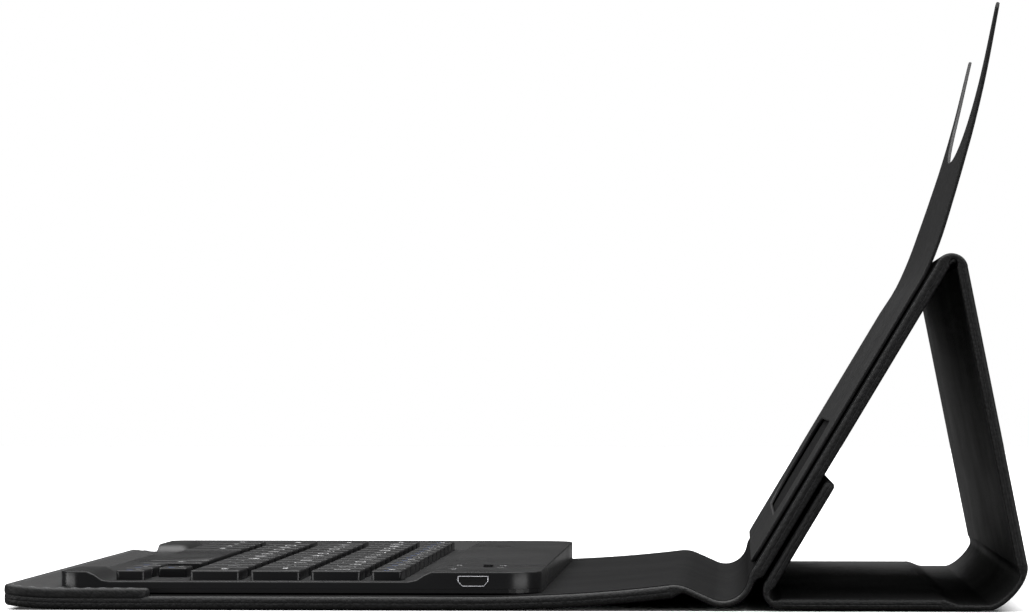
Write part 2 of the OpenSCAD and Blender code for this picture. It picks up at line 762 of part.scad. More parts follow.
module keyboard_feet() {
    foot_r = 4;
    foot_spots = [for (sx = [-1, 1]) for (y = [kb_front + 12, flat_end.x - foot_r - 1])
        [sx * (kb_w / 2 - 14), y, cover_t + fit_gap]];
    color([0.03, 0.03, 0.03]) for (spot = foot_spots)
        translate(spot) cylinder(h = kb_z - cover_t - fit_gap, r = foot_r, $fn = 32);
}

cover_leather();
cover_board();
cover_lining();
keyboard_stop();
cover_magnets();
spine_leather();
spine_lining();
front_panel_leather();
front_panel_board();
front_panel_lining();
front_panel_steel_strip();
holder_glue_strips();
holder_sheet();
holder_flap();
ridge_fold();
rear_panel_leather();
rear_panel_board();
rear_panel_lining();
heel_fold();
base_leather();
base_board();
base_lining();
toe_fold();
tab_leather();
tab_board();
tab_lining();
tab_magnets();
keyboard_top_shell();
keyboard_bottom_shell();
key_backplate();
switch_membrane();
rubber_domes();
circuit_board();
battery();
charging_socket();
power_switch();
indicator_lenses();
keyboard_magnets();
shell_screws();
keyboard_feet();
keycaps(space_row, 0, 0);  // key_control
keycaps(space_row, 1, 1);  // key_function
keycaps(space_row, 2, 2);  // key_option
keycaps(space_row, 3, 3);  // key_command
keycaps(space_row, 4, 4);  // key_space
keycaps(space_row, 5, 5);  // key_alternate
keycaps(arrow_front_row, 1, 1);  // key_left
keycaps(arrow_front_row, 2, 2);  // key_down
keycaps(arrow_front_row, 3, 3);  // key_right
keycaps(arrow_rear_row, 1, 1);  // key_up
keycaps(bottom_row, 0, 0);  // key_left_shift
keycaps(bottom_row, 1, 10);  // keys_bottom_letters
keycaps(bottom_row, 11, 11);  // key_right_shift
keycaps(middle_row, 0, 0);  // key_caps_lock
keycaps(middle_row, 1, 10);  // keys_middle_letters
keycaps(middle_row, 11, 11);  // key_enter
keycaps(top_row, 0, 12);  // keys_top_letters
keycaps(number_row, 0, 0);  // key_escape
keycaps(number_row, 1, 11);  // keys_numbers
keycaps(number_row, 12, 12);  // key_backspace
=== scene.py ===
import math

import bmesh
import bpy
import numpy as np
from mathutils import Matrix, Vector, noise
from mathutils.geometry import delaunay_2d_cdt


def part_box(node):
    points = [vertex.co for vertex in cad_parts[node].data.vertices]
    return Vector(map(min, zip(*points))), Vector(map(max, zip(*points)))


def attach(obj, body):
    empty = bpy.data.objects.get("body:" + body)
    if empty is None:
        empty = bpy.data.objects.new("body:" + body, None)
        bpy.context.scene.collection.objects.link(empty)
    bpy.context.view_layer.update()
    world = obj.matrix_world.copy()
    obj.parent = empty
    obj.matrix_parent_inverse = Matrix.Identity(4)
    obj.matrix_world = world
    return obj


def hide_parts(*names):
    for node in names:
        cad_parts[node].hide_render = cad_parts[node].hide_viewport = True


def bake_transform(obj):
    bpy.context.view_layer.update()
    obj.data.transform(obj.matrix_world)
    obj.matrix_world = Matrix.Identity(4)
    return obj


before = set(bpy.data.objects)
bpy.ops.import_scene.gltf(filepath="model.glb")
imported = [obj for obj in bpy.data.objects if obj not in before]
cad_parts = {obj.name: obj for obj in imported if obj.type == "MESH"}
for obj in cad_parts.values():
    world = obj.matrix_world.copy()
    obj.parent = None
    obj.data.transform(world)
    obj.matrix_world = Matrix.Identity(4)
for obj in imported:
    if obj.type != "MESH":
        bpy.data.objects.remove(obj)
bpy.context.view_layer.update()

MM = 0.001

# ---- Camera, table and lights ----
# The case is seen from its user's right, level with the tabletop, through a long lens. It stands on
# a plain white sweep under a broad soft light, with a low strip light at each side of the camera.
room = bpy.context.scene
room.view_settings.view_transform = "Standard"
lens_data = bpy.data.cameras.new("camera")
lens_data.lens = 166.8
lens_data.sensor_width = 36.0
lens_data.clip_end = 30.0
camera = bpy.data.objects.new("camera", lens_data)
room.collection.objects.link(camera)
toward_front, upward = math.radians(2.71), math.radians(0.94)
sight = Vector((-math.cos(toward_front) * math.cos(upward),
                -math.sin(toward_front) * math.cos(upward), math.sin(upward)))
camera.location = (1.3355, 0.10275, 0.057)
camera.rotation_euler = sight.to_track_quat("-Z", "Y").to_euler()
room.camera = camera


def feed(tree, node, **values):
    """Sets inputs by name, or by number as i0, i1. A value that is a socket is linked."""
    for key, value in values.items():
        socket = node.inputs[int(key[1:]) if key[1:].isdigit() else key.replace("_", " ")]
        if isinstance(value, bpy.types.NodeSocket):
            tree.links.new(value, socket)
        else:
            socket.default_value = value


def add(tree, kind, settings=None, **values):
    """A new node with its settings and inputs."""
    made = tree.nodes.new(kind)
    for key, value in (settings or {}).items():
        setattr(made, key, value)
    feed(tree, made, **values)
    return made


def two_tone(tree, share, first, second):
    """Colour that runs from the first to the second as a share goes from 0 to 1."""
    return add(tree, "ShaderNodeMix", {"data_type": "RGBA"}, i0=share, i6=(*first, 1),
               i7=(*second, 1)).outputs[2]


def new_material(name):
    """A material, its node tree and its surface shader."""
    made = bpy.data.materials.new(name)
    made.use_nodes = True
    return made, made.node_tree, made.node_tree.nodes["Principled BSDF"]


def new_mesh(name, verts, faces):
    mesh = bpy.data.meshes.new(name)
    mesh.from_pydata(verts, [], faces)
    return mesh


# The sweep is white to the camera only, and painted dark grey for all other rays:
# painted shade that keeps most of its glare off the leather
white_paper, paper_tree, paper_shader = new_material("white_paper")
paper_ray_kind = add(paper_tree, "ShaderNodeLightPath")
feed(paper_tree, paper_shader, Roughness=0.9, Specular_IOR_Level=0.1,
     Base_Color=two_tone(paper_tree, paper_ray_kind.outputs["Is Camera Ray"], (0.12, 0.12, 0.12),
                         (0.88, 0.88, 0.885)))
TABLE_HALF, TABLE_DROP = 3.0, 0.0002
table_mesh = new_mesh(
    "table_top", [(-TABLE_HALF, -TABLE_HALF, 0), (TABLE_HALF, -TABLE_HALF, 0),
                  (TABLE_HALF, TABLE_HALF, 0), (-TABLE_HALF, TABLE_HALF, 0)], [(0, 1, 2, 3)])
table_mesh.materials.append(white_paper)
table_top = bpy.data.objects.new("table_top", table_mesh)
table_top.location.z = -TABLE_DROP
room.collection.objects.link(table_top)

# The backdrop looks white, and lights the case only faintly
backdrop_light = bpy.data.worlds.new("backdrop_light")
room.world = backdrop_light
backdrop_light.use_nodes = True
sky = backdrop_light.node_tree
sky.nodes.clear()
seen = add(sky, "ShaderNodeBackground", Color=(1, 1, 1, 1), Strength=1.0)
felt = add(sky, "ShaderNodeBackground", Color=(1, 1, 1, 1), Strength=0.04)
ray_kind = add(sky, "ShaderNodeLightPath")
either = add(sky, "ShaderNodeMixShader", i0=ray_kind.outputs["Is Camera Ray"],
             i1=felt.outputs[0], i2=seen.outputs[0])
add(sky, "ShaderNodeOutputWorld", i0=either.outputs[0])


def soft_box(name, place, target, across, tall, power):
    data = bpy.data.lights.new(name, "AREA")
    data.shape = "RECTANGLE"
    data.size, data.size_y = across, tall
    data.energy = power
    lamp = bpy.data.objects.new(name, data)
    lamp.location = place
    lamp.rotation_euler = (Vector(target) - Vector(place)).to_track_quat("-Z", "Y").to_euler()
    room.collection.objects.link(lamp)


soft_box("box_overhead", (-0.4, 0.05, 2.4), (-0.4, 0.05, 0), 6.0, 6.0, 420)
soft_box("box_front", (0.75, -1.15, 0.12), (0.1, -0.02, 0.02), 1.5, 0.2, 10)
soft_box("box_rear", (0.85, 1.25, 0.12), (0.1, 0.05, 0.02), 1.2, 0.2, 8.5)

# ---- Front cover: outer leather ----
# Pebbled black synthetic leather glued over a stiff board and turned up round its edge, so that the
# edge is round and soft. Its rear end curves up and thins towards the spine.
CASE_W = 262.0
EDGE_R = 1.15
LEATHER_T = 0.9
COVER_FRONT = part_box("cover_leather")[0].y / MM
COVER_D = -2 * COVER_FRONT
COVER_T = 3.4
COVER_CORNER = 5.0
RISE_L, RISE = 50.0, 3.0


def ahead(heading):
    return np.array([math.cos(math.radians(heading)), math.sin(math.radians(heading))])


def right(heading):
    return np.array([math.sin(math.radians(heading)), -math.cos(math.radians(heading))])


def straight(start, heading, length, step=4.0):
    count = max(1, round(length / step))
    return [(start + ahead(heading) * length * k / count, heading) for k in range(count + 1)]


def bend_end(start, heading, radius, turn):
    return start - math.copysign(radius, turn) * (right(heading) - right(heading + turn))


def bend(start, heading, radius, turn, count):
    return [(bend_end(start, heading, radius, turn * k / count), heading + turn * k / count)
            for k in range(count + 1)]


def joined(first, *others):
    whole = list(first)
    for walk in others:
        whole += walk[1:]
    return whole


def distances(walk):
    steps = [0.0] + [float(np.linalg.norm(b[0] - a[0])) for a, b in zip(walk, walk[1:])]
    return np.cumsum(steps)


def rounded_off(s, radius):
    """How far a round corner stands back from its square one, at a distance s from the end."""
    return radius - math.sqrt(radius ** 2 - (radius - s) ** 2) if s < radius else 0.0


def strip_ring(half, low, high, edge, columns, seam):
    """Section across a strip as (x, depth, face) points: top, right edge, bottom, left edge."""
    edge = max(0.02, min(edge, (high - low) / 2 - 0.02))
    top = [((2 * k / columns - 1) * (half - edge), low, -1) for k in range(columns + 1)]
    side = []
    for k in range(1, 5):
        a = math.radians(90 - 18 * k)
        side.append((half - edge + edge * math.cos(a), low + edge - edge * math.sin(a), 0))
    middle, lip = (low + high) / 2, min(0.2, (high - low) / 2 - edge)
    side += [(half, low + edge, 0), (half, middle - lip, 0), (half - seam, middle, 0),
             (half, middle + lip, 0), (half, high - edge, 0)]
    for k in range(1, 5):
        a = math.radians(18 * k)
        side.append((half - edge + edge * math.cos(a), high - edge + edge * math.sin(a), 0))
    bottom = [(x, high, 1) for x, _, _ in reversed(top)]
    return top + side + bottom + [(-x, d, f) for x, d, f in reversed(side)]


def strip(name, walk, low, high, half, edge=EDGE_R, columns=44, seam=0.0, soft=0.12, begin=0.0,
          hollow=None):
    """Closed strip along a walk. Sizes are numbers, or functions of the distance walked.
    hollow is the first and last station of a cavity for a board, or None."""
    at = distances(walk)
    verts, places, faces = [], [], []

    def tube(stations, inset_side, inset_top, inset_low, ripple, corner):
        first = len(verts)
        size = 0
        for i in stations:
            (place, heading), s = walk[i], at[i]
            lo, hi, hw = (v(s) if callable(v) else v for v in (low, high, half))
            ring = strip_ring(hw - inset_side, lo + inset_top, hi - inset_low, corner, columns,
                              seam if ripple else 0.0)
            size, round_it, before = len(ring), 0.0, ring[0]
            for x, depth, face in ring:
                wave = noise.noise(Vector((x * 0.03, (s + begin) * 0.05, 3.1)))
                yz = place + right(heading) * (depth - face * ripple * (0.5 + 0.5 * wave))
                round_it += math.hypot(x - before[0], depth - before[1])
                before = (x, depth)
                verts.append((x * MM, yz[0] * MM, yz[1] * MM))
                places.append((round_it * MM, (s + begin) * MM))
        for r in range(len(stations) - 1):
            for k in range(size):
                a, b = first + r * size + k, first + r * size + (k + 1) % size
                faces.append((a, a + size, b + size, b))
        return first, len(verts) - size, size

    everywhere = range(len(walk))
    start, end, size = tube(everywhere, 0, 0, 0, soft, edge)
    if hollow is None:
        faces += [tuple(range(start, start + size)), tuple(range(end, end + size))]
    else:
        inside = range(hollow[0], len(walk) + hollow[1])
        cavity, far, _ = tube(inside, LEATHER_T - 0.05, 0.5, LEATHER_T - 0.05, 0.0, 0.05)
        for outer, inner, open_end in ((start, cavity, hollow[0] == 0), (end, far, hollow[1] == 0)):
            if open_end:
                faces += [(outer + k, inner + k, inner + (k + 1) % size, outer + (k + 1) % size)
                          for k in range(size)]
            else:
                faces += [tuple(range(outer, outer + size)), tuple(range(inner, inner + size))]
    mesh = new_mesh(name, verts, faces)
    uv = mesh.uv_layers.new(name="metres")
    for face in mesh.polygons:
        spots = [places[v] for v in face.vertices]
        wrap = max(u for u, _ in spots) - min(u for u, _ in spots) > 0.1
        top_u = max(u for u, _ in spots)
        for loop, (u, v) in zip(face.loop_indices, spots):
            uv.data[loop].uv = (top_u + 0.001 if wrap and u < 0.1 else u, v)
    return closed(mesh)


def between(first, size, count):
    """Quads between neighbours of count rings of one size, from vertex first on."""
    return [(first + r * size + k, first + r * size + (k + 1) % size,
             first + (r + 1) * size + (k + 1) % size, first + (r + 1) * size + k)
            for r in range(count - 1) for k in range(size)]


def closed(mesh, sharp=38):
    """Turns every face outwards, and shades the mesh smooth but for its sharp edges."""
    bm = bmesh.new()
    bm.from_mesh(mesh)
    bmesh.ops.recalc_face_normals(bm, faces=bm.faces)
    bm.to_mesh(mesh)
    bm.free()
    for face in mesh.polygons:
        face.use_smooth = True
    mesh.set_sharp_from_angle(angle=math.radians(sharp))
    return mesh


def new_piece(mesh, *materials):
    for m in materials:
        mesh.materials.append(m)
    piece = bpy.data.objects.new(mesh.name, mesh)
    room.collection.objects.link(piece)
    return piece


def node_group(name, inputs, outputs):
    """An empty shader node group, with its input and output nodes."""
    group = bpy.data.node_groups.new(name, "ShaderNodeTree")
    for label, kind, value in inputs:
        socket = group.interface.new_socket(name=label, in_out="INPUT", socket_type=kind)
        if value is not None:
            socket.default_value = value
    for label, kind in outputs:
        group.interface.new_socket(name=label, in_out="OUTPUT", socket_type=kind)
    return group, group.nodes.new("NodeGroupInput"), group.nodes.new("NodeGroupOutput")


# Grain of embossed leather: round pebbles, creases between them, and slow pulls in the hide
grain, grain_in, grain_out = node_group(
    "leather_grain",
    [("Place", "NodeSocketVector", None), ("Pebble", "NodeSocketFloat", 0.001),
     ("Pull", "NodeSocketFloat", 0.3)],
    [("Height", "NodeSocketFloat"), ("Crease", "NodeSocketFloat"), ("Patch", "NodeSocketFloat")])
per_metre = add(grain, "ShaderNodeMath", {"operation": "DIVIDE"}, i0=1.0,
                i1=grain_in.outputs["Pebble"])
warp = add(grain, "ShaderNodeTexNoise", Vector=grain_in.outputs["Place"], Scale=420.0, Detail=2.0)
warp_size = add(grain, "ShaderNodeVectorMath", {"operation": "SCALE"}, i0=warp.outputs["Color"],
                Scale=0.0006)
bent = add(grain, "ShaderNodeVectorMath", {"operation": "ADD"}, i0=grain_in.outputs["Place"],
           i1=warp_size.outputs[0])
pebbles = add(grain, "ShaderNodeTexVoronoi", {"feature": "SMOOTH_F1"}, Vector=bent.outputs[0],
              Scale=per_metre.outputs[0], Smoothness=0.35, Randomness=0.95)
edges = add(grain, "ShaderNodeTexVoronoi", {"feature": "DISTANCE_TO_EDGE"}, Vector=bent.outputs[0],
            Scale=per_metre.outputs[0], Randomness=0.95)
crease = add(grain, "ShaderNodeMapRange", {"interpolation_type": "SMOOTHSTEP"},
             Value=edges.outputs["Distance"], i1=0.0, i2=0.16, i3=1.0, i4=0.0)
pull = add(grain, "ShaderNodeTexNoise", Vector=grain_in.outputs["Place"], Scale=55.0, Detail=3.0,
           Roughness=0.55)
patch = add(grain, "ShaderNodeTexNoise", Vector=grain_in.outputs["Place"], Scale=24.0, Detail=4.0,
            Roughness=0.6)
dome = add(grain, "ShaderNodeMath", {"operation": "SUBTRACT"}, i0=1.0,
           i1=pebbles.outputs["Distance"])
sunk = add(grain, "ShaderNodeMath", {"operation": "MULTIPLY_ADD"}, i0=crease.outputs[0], i1=-0.35,
           i2=dome.outputs[0])
height = add(grain, "ShaderNodeMath", {"operation": "MULTIPLY_ADD"}, i0=pull.outputs["Fac"],
             i1=grain_in.outputs["Pull"], i2=sunk.outputs[0])
grain.links.new(height.outputs[0], grain_out.inputs["Height"])
grain.links.new(crease.outputs[0], grain_out.inputs["Crease"])
grain.links.new(patch.outputs["Fac"], grain_out.inputs["Patch"])


def leather(name, pebble, relief, light, dark, gloss, spread, pull_size=0.3, shine=0.16):
    """Synthetic leather. The first colour is its own, on the pebbles; the second is darker, painted
    shade in the creases between them.
    """
    made, tree, shader = new_material(name)
    place = add(tree, "ShaderNodeUVMap", {"uv_map": "metres"})
    skin = add(tree, "ShaderNodeGroup", {"node_tree": grain}, Place=place.outputs[0], Pebble=pebble,
               Pull=pull_size)
    rough = add(tree, "ShaderNodeMapRange", Value=skin.outputs["Patch"], i1=0.3, i2=0.7,
                i3=gloss - spread, i4=gloss + spread)
    bump = add(tree, "ShaderNodeBump", Strength=0.85, Distance=relief,
               Height=skin.outputs["Height"])
    # The creases are darker in colour as painted shade, on top of their bump
    feed(tree, shader, Base_Color=two_tone(tree, skin.outputs["Crease"], light, dark),
         Roughness=rough.outputs[0], Normal=bump.outputs[0], Specular_IOR_Level=shine)
    return made


LEATHER_BLACK = (0.0075, 0.0075, 0.0078)
outer_leather = leather("outer_leather", 0.0011, 0.00010, LEATHER_BLACK, (0.003, 0.003, 0.003),
                        0.5, 0.06)

RISE_TURN = 2 * math.degrees(math.atan(RISE / RISE_L))
RISE_R = RISE_L / math.sin(math.radians(RISE_TURN))
LINING_T = 0.15
FRONT_STATIONS = [0, 0.25, 0.6, 1.1, 1.8, 2.8, 4.2, 6, 8.5, 11, 14]
front_edge = np.array([COVER_FRONT, COVER_T])
flat_end = np.array([COVER_D / 2 - RISE_L, COVER_T])
CURL, CURL_L = 1.1, 15.0


def curl(y):
    """Height by which the front of the cover stands off the table, at a depth y."""
    return CURL * (1 - (y - COVER_FRONT) / CURL_L) ** 2 if y < COVER_FRONT + CURL_L else 0.0


cover_walk = joined(
    [(front_edge + np.array([s, curl(COVER_FRONT + s)]), 0.0) for s in FRONT_STATIONS],
    straight(front_edge + np.array([FRONT_STATIONS[-1], 0.0]), 0.0,
             COVER_D - RISE_L - FRONT_STATIONS[-1]),
    bend(flat_end, 0.0, RISE_R, RISE_TURN, 14))
cover_end = cover_walk[-1][0]
FLEX_T = 1.6


def cover_half(s):
    return CASE_W / 2 - rounded_off(s, COVER_CORNER)


cover_wrap = new_piece(strip(
    "cover_wrap", cover_walk, lambda s: LINING_T + rounded_off(s, EDGE_R),
    lambda s: COVER_T - rounded_off(s, EDGE_R), cover_half, seam=0.1, hollow=(6, 0)), outer_leather)
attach(cover_wrap, "cover")
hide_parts("cover_leather")

# ---- Front cover: lining ----
# Smooth black lining cloth, glued down inside the turned-up leather edge. It is thin enough that
# its own edge hardly shows. The stand's panels have the same lining.
LINING_INSET = 4.5
lining_cloth = leather("lining_cloth", 0.00045, 0.00003, (0.007, 0.007, 0.0073),
                       (0.005, 0.005, 0.005), 0.72, 0.05, pull_size=0.8, shine=0.03)


def lining(name, walk, body, node, half=CASE_W / 2 - LINING_INSET, begin=0.0):
    """Thin cloth along a walk, riding on a body, or on none yet where body is None."""
    piece = new_piece(strip(name, walk, 0.0, LINING_T + 0.1, half, edge=0.1, soft=0.0, begin=begin),
                      lining_cloth)
    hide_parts(node)
    far_from_end = 1000.0
    2 * half(far_from_end) * MM if callable(half) else 2 * half * MM
    if body:
        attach(piece, body)
    return piece


LINING_FRONT = [(place + np.array([LINING_INSET, 0.0]), heading)
                for place, heading in cover_walk[:11]]
lining("cover_cloth", joined(LINING_FRONT, cover_walk[13:]), "cover", "cover_lining",
       lambda s: CASE_W / 2 - LINING_INSET - rounded_off(s, COVER_CORNER - LINING_INSET))

# ---- Front cover: keyboard stop ----
# Padded leather bar sewn round the front of the cover, with an arm along each side of the keyboard.
# It keeps the keyboard from sliding, and its outer seam shows as a row of stitches.
stop_low, stop_high = (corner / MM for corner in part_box("keyboard_stop"))
STOP_D, ARM_IN = 12.5, 123.1
STOP_R, MOUTH_R = 5.0, 5.0
SLOPE = [(0.6, -0.5), (0.15, -0.3), (0.0, 0.0), (0.02, 0.4), (0.1, 0.65), (0.25, 0.85),
         (0.48, 0.96), (0.75, 1.0)]


def quarter(centre, radius, start, count=8):
    return [centre + radius * ahead(start + 90 * k / count) for k in range(count + 1)]


def along_line(points, step):
    """The same open outline with points no further apart than step."""
    dense = [points[0]]
    for a, b in zip(points, points[1:]):
        pieces = max(1, math.ceil(np.linalg.norm(b - a) / step))
        dense += [a + (b - a) * k / pieces for k in range(1, pieces + 1)]
    return dense


def outline_normals(points):
    """Outward normals of a closed outline that runs anticlockwise."""
    before, after = np.roll(points, 1, axis=0), np.roll(points, -1, axis=0)
    along = (after - before) / np.maximum(np.linalg.norm(after - before, axis=1), 1e-9)[:, None]
    return np.stack([along[:, 1], -along[:, 0]], axis=1)


sx, back, front = stop_high.x, stop_high.y, stop_low.y
end_r = 2.2
stop_outline = along_line(
    [np.array([-sx, back - end_r])] + quarter(np.array([-sx + STOP_R, front + STOP_R]), STOP_R, 180)
    + quarter(np.array([sx - STOP_R, front + STOP_R]), STOP_R, 270)
    + quarter(np.array([sx - end_r, back - end_r]), end_r, 0, 4)
    + quarter(np.array([ARM_IN + end_r, back - end_r]), end_r, 90, 4)
    + quarter(np.array([ARM_IN - MOUTH_R, COVER_FRONT + STOP_D + MOUTH_R]), MOUTH_R, 0)[::-1]
    + quarter(np.array([-ARM_IN + MOUTH_R, COVER_FRONT + STOP_D + MOUTH_R]), MOUTH_R, 90)[::-1]
    + quarter(np.array([-ARM_IN - end_r, back - end_r]), end_r, 0, 4)
    + quarter(np.array([-sx + end_r, back - end_r]), end_r, 90, 4), 3.0)
stop_outline = np.array([p for p, q in zip(stop_outline, stop_outline[1:] + stop_outline[:1])
                         if np.linalg.norm(p - q) > 0.05])


def filled(outline, holes, extra):
    """Triangles inside an outline and outside its holes, as (points, triangles, boundary loops)."""
    spots, bounds_in = [], []
    for loop in [outline] + holes:
        first = len(spots)
        spots += [Vector(p) for p in loop]
        bounds_in.append(list(range(first, len(spots))))
    edges_in = [(loop[k], loop[(k + 1) % len(loop)]) for loop in bounds_in
                for k in range(len(loop))]
    spots += [Vector(p) for p in extra]
    points, _, faces, was, _, _ = delaunay_2d_cdt(spots, edges_in, bounds_in, 2, 1e-5)
    now = {old: new for new, olds in enumerate(was) for old in olds}
    loops = [[now[v] for v in loop] for loop in bounds_in]
    return [tuple(p) for p in points], [tuple(f) for f in faces], loops


def lid(ring, first):
    """Triangles that close a ring of vertices numbered from first, by their plan."""
    _, triangles, loops = filled([spot[:2] for spot in ring], [], [])
    old = {new: k for k, new in enumerate(loops[0])}
    return [tuple(first + old[v] for v in face) for face in triangles]


def raised(name, outline, base, height, slope):
    """Closed pad on an outline. slope is the (step in, share of the height) of its rounded edge."""
    inward = -outline_normals(outline)
    rings = [[(*(p + n * step), base + height * share + curl(p[1]))
              for p, n in zip(outline, inward)] for step, share in slope]
    size = len(outline)
    verts = [tuple(c * MM for c in v) for ring in rings for v in ring]
    faces = between(0, size, len(rings))
    faces += lid(rings[0], 0) + lid(rings[-1], (len(rings) - 1) * size)
    mesh = new_mesh(name, verts, faces)
    uv = mesh.uv_layers.new(name="metres")
    for loop in mesh.loops:
        spot = mesh.vertices[loop.vertex_index].co
        uv.data[loop.index].uv = (spot.x + spot.z, spot.y + spot.z)
    return closed(mesh)


stop_pad = new_piece(raised("stop_pad", stop_outline, COVER_T, stop_high.z - COVER_T, SLOPE),
                     outer_leather)
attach(stop_pad, "cover")
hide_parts("keyboard_stop")

# ---- Stitches ----
# Grey thread in short slanted stitches, each end pulled down into the leather. They run round the
# outer side of the keyboard stop and hold it to the cover.
STITCH, STITCH_GAP, THREAD_R = 2.6, 1.0, 0.26
SLANT, SUNK, SEAM_IN = 0.12, 0.16, 2.2
SIDES, RINGS = 6, 7
thread, thread_tree, thread_shader = new_material("thread")
twist = add(thread_tree, "ShaderNodeTexWave", {"bands_direction": "DIAGONAL"}, Scale=900.0,
            Distortion=0.6)
thread_bump = add(thread_tree, "ShaderNodeBump", Strength=0.6, Distance=0.00008,
                  Height=twist.outputs["Fac"])
# The thread is darker in the grooves of its twist: painted shade that follows the bump
feed(thread_tree, thread_shader, Normal=thread_bump.outputs[0], Roughness=0.55,
     Base_Color=two_tone(thread_tree, twist.outputs["Fac"], (0.045, 0.045, 0.047),
                         (0.11, 0.11, 0.115)))


def stitches(name, lines, body):
    """lines are routes as (point, normal) pairs in 3D, in mm. The stitches ride on a body."""
    verts, faces = [], []
    for route in lines:
        spots = np.array([p for p, _ in route])
        run = np.concatenate([[0], np.cumsum(np.linalg.norm(np.diff(spots, axis=0), axis=1))])
        for i in range(int(run[-1] // (STITCH + STITCH_GAP))):
            mid = (i + 0.5) * (STITCH + STITCH_GAP)
            a, b, c = (np.array([np.interp(mid + d, run, spots[:, k]) for k in range(3)])
                       for d in (-STITCH / 2, 0, STITCH / 2))
            up = np.array(route[min(len(route) - 1, int(np.searchsorted(run, mid)))][1], float)
            way = (c - a) / np.linalg.norm(c - a)
            across = np.cross(way, up)
            first = len(verts)
            for j in range(RINGS):
                t = j / (RINGS - 1) * 2 - 1
                girth = THREAD_R * math.sqrt(max(0.02, 1 - t ** 4))
                centre = b + way * t * STITCH / 2 + across * SLANT * t - up * SUNK * t * t
                for k in range(SIDES):
                    turn = 2 * math.pi * k / SIDES
                    ring = girth * (math.cos(turn) * across + math.sin(turn) * up)
                    verts.append(tuple((centre + ring) * MM))
            faces += between(first, SIDES, RINGS)
            faces += [tuple(range(first, first + SIDES))[::-1],
                      tuple(range(len(verts) - SIDES, len(verts)))]
    piece = new_piece(closed(new_mesh(name, verts, faces), 80), thread)
    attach(piece, body)
    return piece


seam_line = stop_outline - outline_normals(stop_outline) * SEAM_IN
# The thread follows the outer side of the stop only
outer_run = [k for k, p in enumerate(stop_outline)
             if max(abs(p[0]) / sx, p[1] / front if p[1] < 0 else 0) > 0.985]
seam_route = [((*seam_line[k], stop_high.z + curl(seam_line[k][1]) + 0.02), (0, 0, 1))
              for k in outer_run]
seam_route.sort(key=lambda spot: math.atan2(spot[0][1] + 40, spot[0][0]) % (2 * math.pi))
stitches("stop_seam", [seam_route], "cover")

# ---- Spine ----
# Bare leather and lining that dip behind the cover and rise to the stand. They bend where the
# stand folds, in a front half and a rear half.
DROP_R, SLOPE_DOWN, RUN, RISE_BACK_R, TILT = 9.0, 24.0, 6.7, 6.5, 59.0
OVER, BACK_R, SPINE_END = 21.0, 6.0, 1.5
FRONT_T = 3.4
drop_turn = -(RISE_TURN + SLOPE_DOWN)
spine_a = bend_end(cover_end, RISE_TURN, DROP_R, drop_turn)
spine_b = spine_a + RUN * ahead(-SLOPE_DOWN)
spine_c = bend_end(spine_b, -SLOPE_DOWN, RISE_BACK_R, SLOPE_DOWN + TILT + OVER)
spine_d = bend_end(spine_c, TILT + OVER, BACK_R, -OVER)
front_foot = spine_d + SPINE_END * ahead(TILT)
spine_front_walk = joined(bend(cover_end, RISE_TURN, DROP_R, drop_turn, 10),
                          straight(spine_a, -SLOPE_DOWN, RUN, 1.0),
                          bend(spine_b, -SLOPE_DOWN, RISE_BACK_R, SLOPE_DOWN, 6))
dip = spine_front_walk[-1][0]
spine_rear_walk = joined(bend(dip, 0.0, RISE_BACK_R, TILT + OVER, 14),
                         bend(spine_c, TILT + OVER, BACK_R, -OVER, 4),
                         straight(spine_d, TILT, SPINE_END, 0.5))
EASE = 5.0


def smooth_step(t):
    t = min(1.0, max(0.0, t))
    return t * t * (3 - 2 * t)


def thinning(walk, before, after):
    """Thickness along a fold: each panel's own thickness at its ends, bare leather between."""
    total = float(distances(walk)[-1])
    return lambda s: (FLEX_T + (before - FLEX_T) * (1 - smooth_step(s / EASE))
                      + (after - FLEX_T) * (1 - smooth_step((total - s) / EASE)))


def fold(name, walk, before, after, nodes):
    """A stretch of bare leather with its lining, bent between two bodies."""
    skin = new_piece(strip(name + "_wrap", walk, LINING_T, thinning(walk, before, after),
                           CASE_W / 2, edge=0.75, soft=0.0), outer_leather)
    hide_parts(*nodes[:1])
    cloth = new_piece(strip(name + "_cloth", walk, 0.0, LINING_T + 0.1,
                            CASE_W / 2 - LINING_INSET, edge=0.1, soft=0.0), lining_cloth)
    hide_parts(nodes[-1])
    for piece in (skin, cloth):
        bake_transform(piece)
    return skin


fold("spine_front", spine_front_walk, COVER_T, FLEX_T,
     ["spine_leather", "spine_lining"])
fold("spine_rear", spine_rear_walk, FLEX_T, FRONT_T,
     ["spine_leather", "spine_lining"])

# ---- Stand: front panel, ridge, rear panel, heel, base, toe and tab ----
# One strip of leather over four boards. It climbs the front panel, turns over the ridge, comes down
# the rear panel, turns in at the heel, and the tab's magnets hold it to the front panel's back.
FRONT_L, REAR_LEAN, PANEL_T = 90.0, 78.8, 3.0
RIDGE_R, HEEL_R, HEEL_FLAT, TOE_R, TAB_L, TAB_GAP = 4.2, 10.0, 12.0, 5.0, 30.0, 0.8
front_top = front_foot + FRONT_L * ahead(TILT)
ridge_turn, heel_turn, toe_turn = -(TILT + REAR_LEAN), -(180 - REAR_LEAN), -(180 - TILT)
rear_top = bend_end(front_top, TILT, RIDGE_R, ridge_turn)
heel_rise = HEEL_R * (1 - math.cos(math.radians(heel_turn)))
rear_l = (rear_top[1] - heel_rise) / math.sin(math.radians(REAR_LEAN))
rear_foot = rear_top + rear_l * ahead(-REAR_LEAN)
heel_end = bend_end(rear_foot, -REAR_LEAN, HEEL_R, heel_turn)
base_start = heel_end - np.array([HEEL_FLAT, 0.0])
panel_back = front_foot + (FRONT_T + TAB_GAP) * right(TILT)
toe_rise = TOE_R * (1 - math.cos(math.radians(toe_turn)))
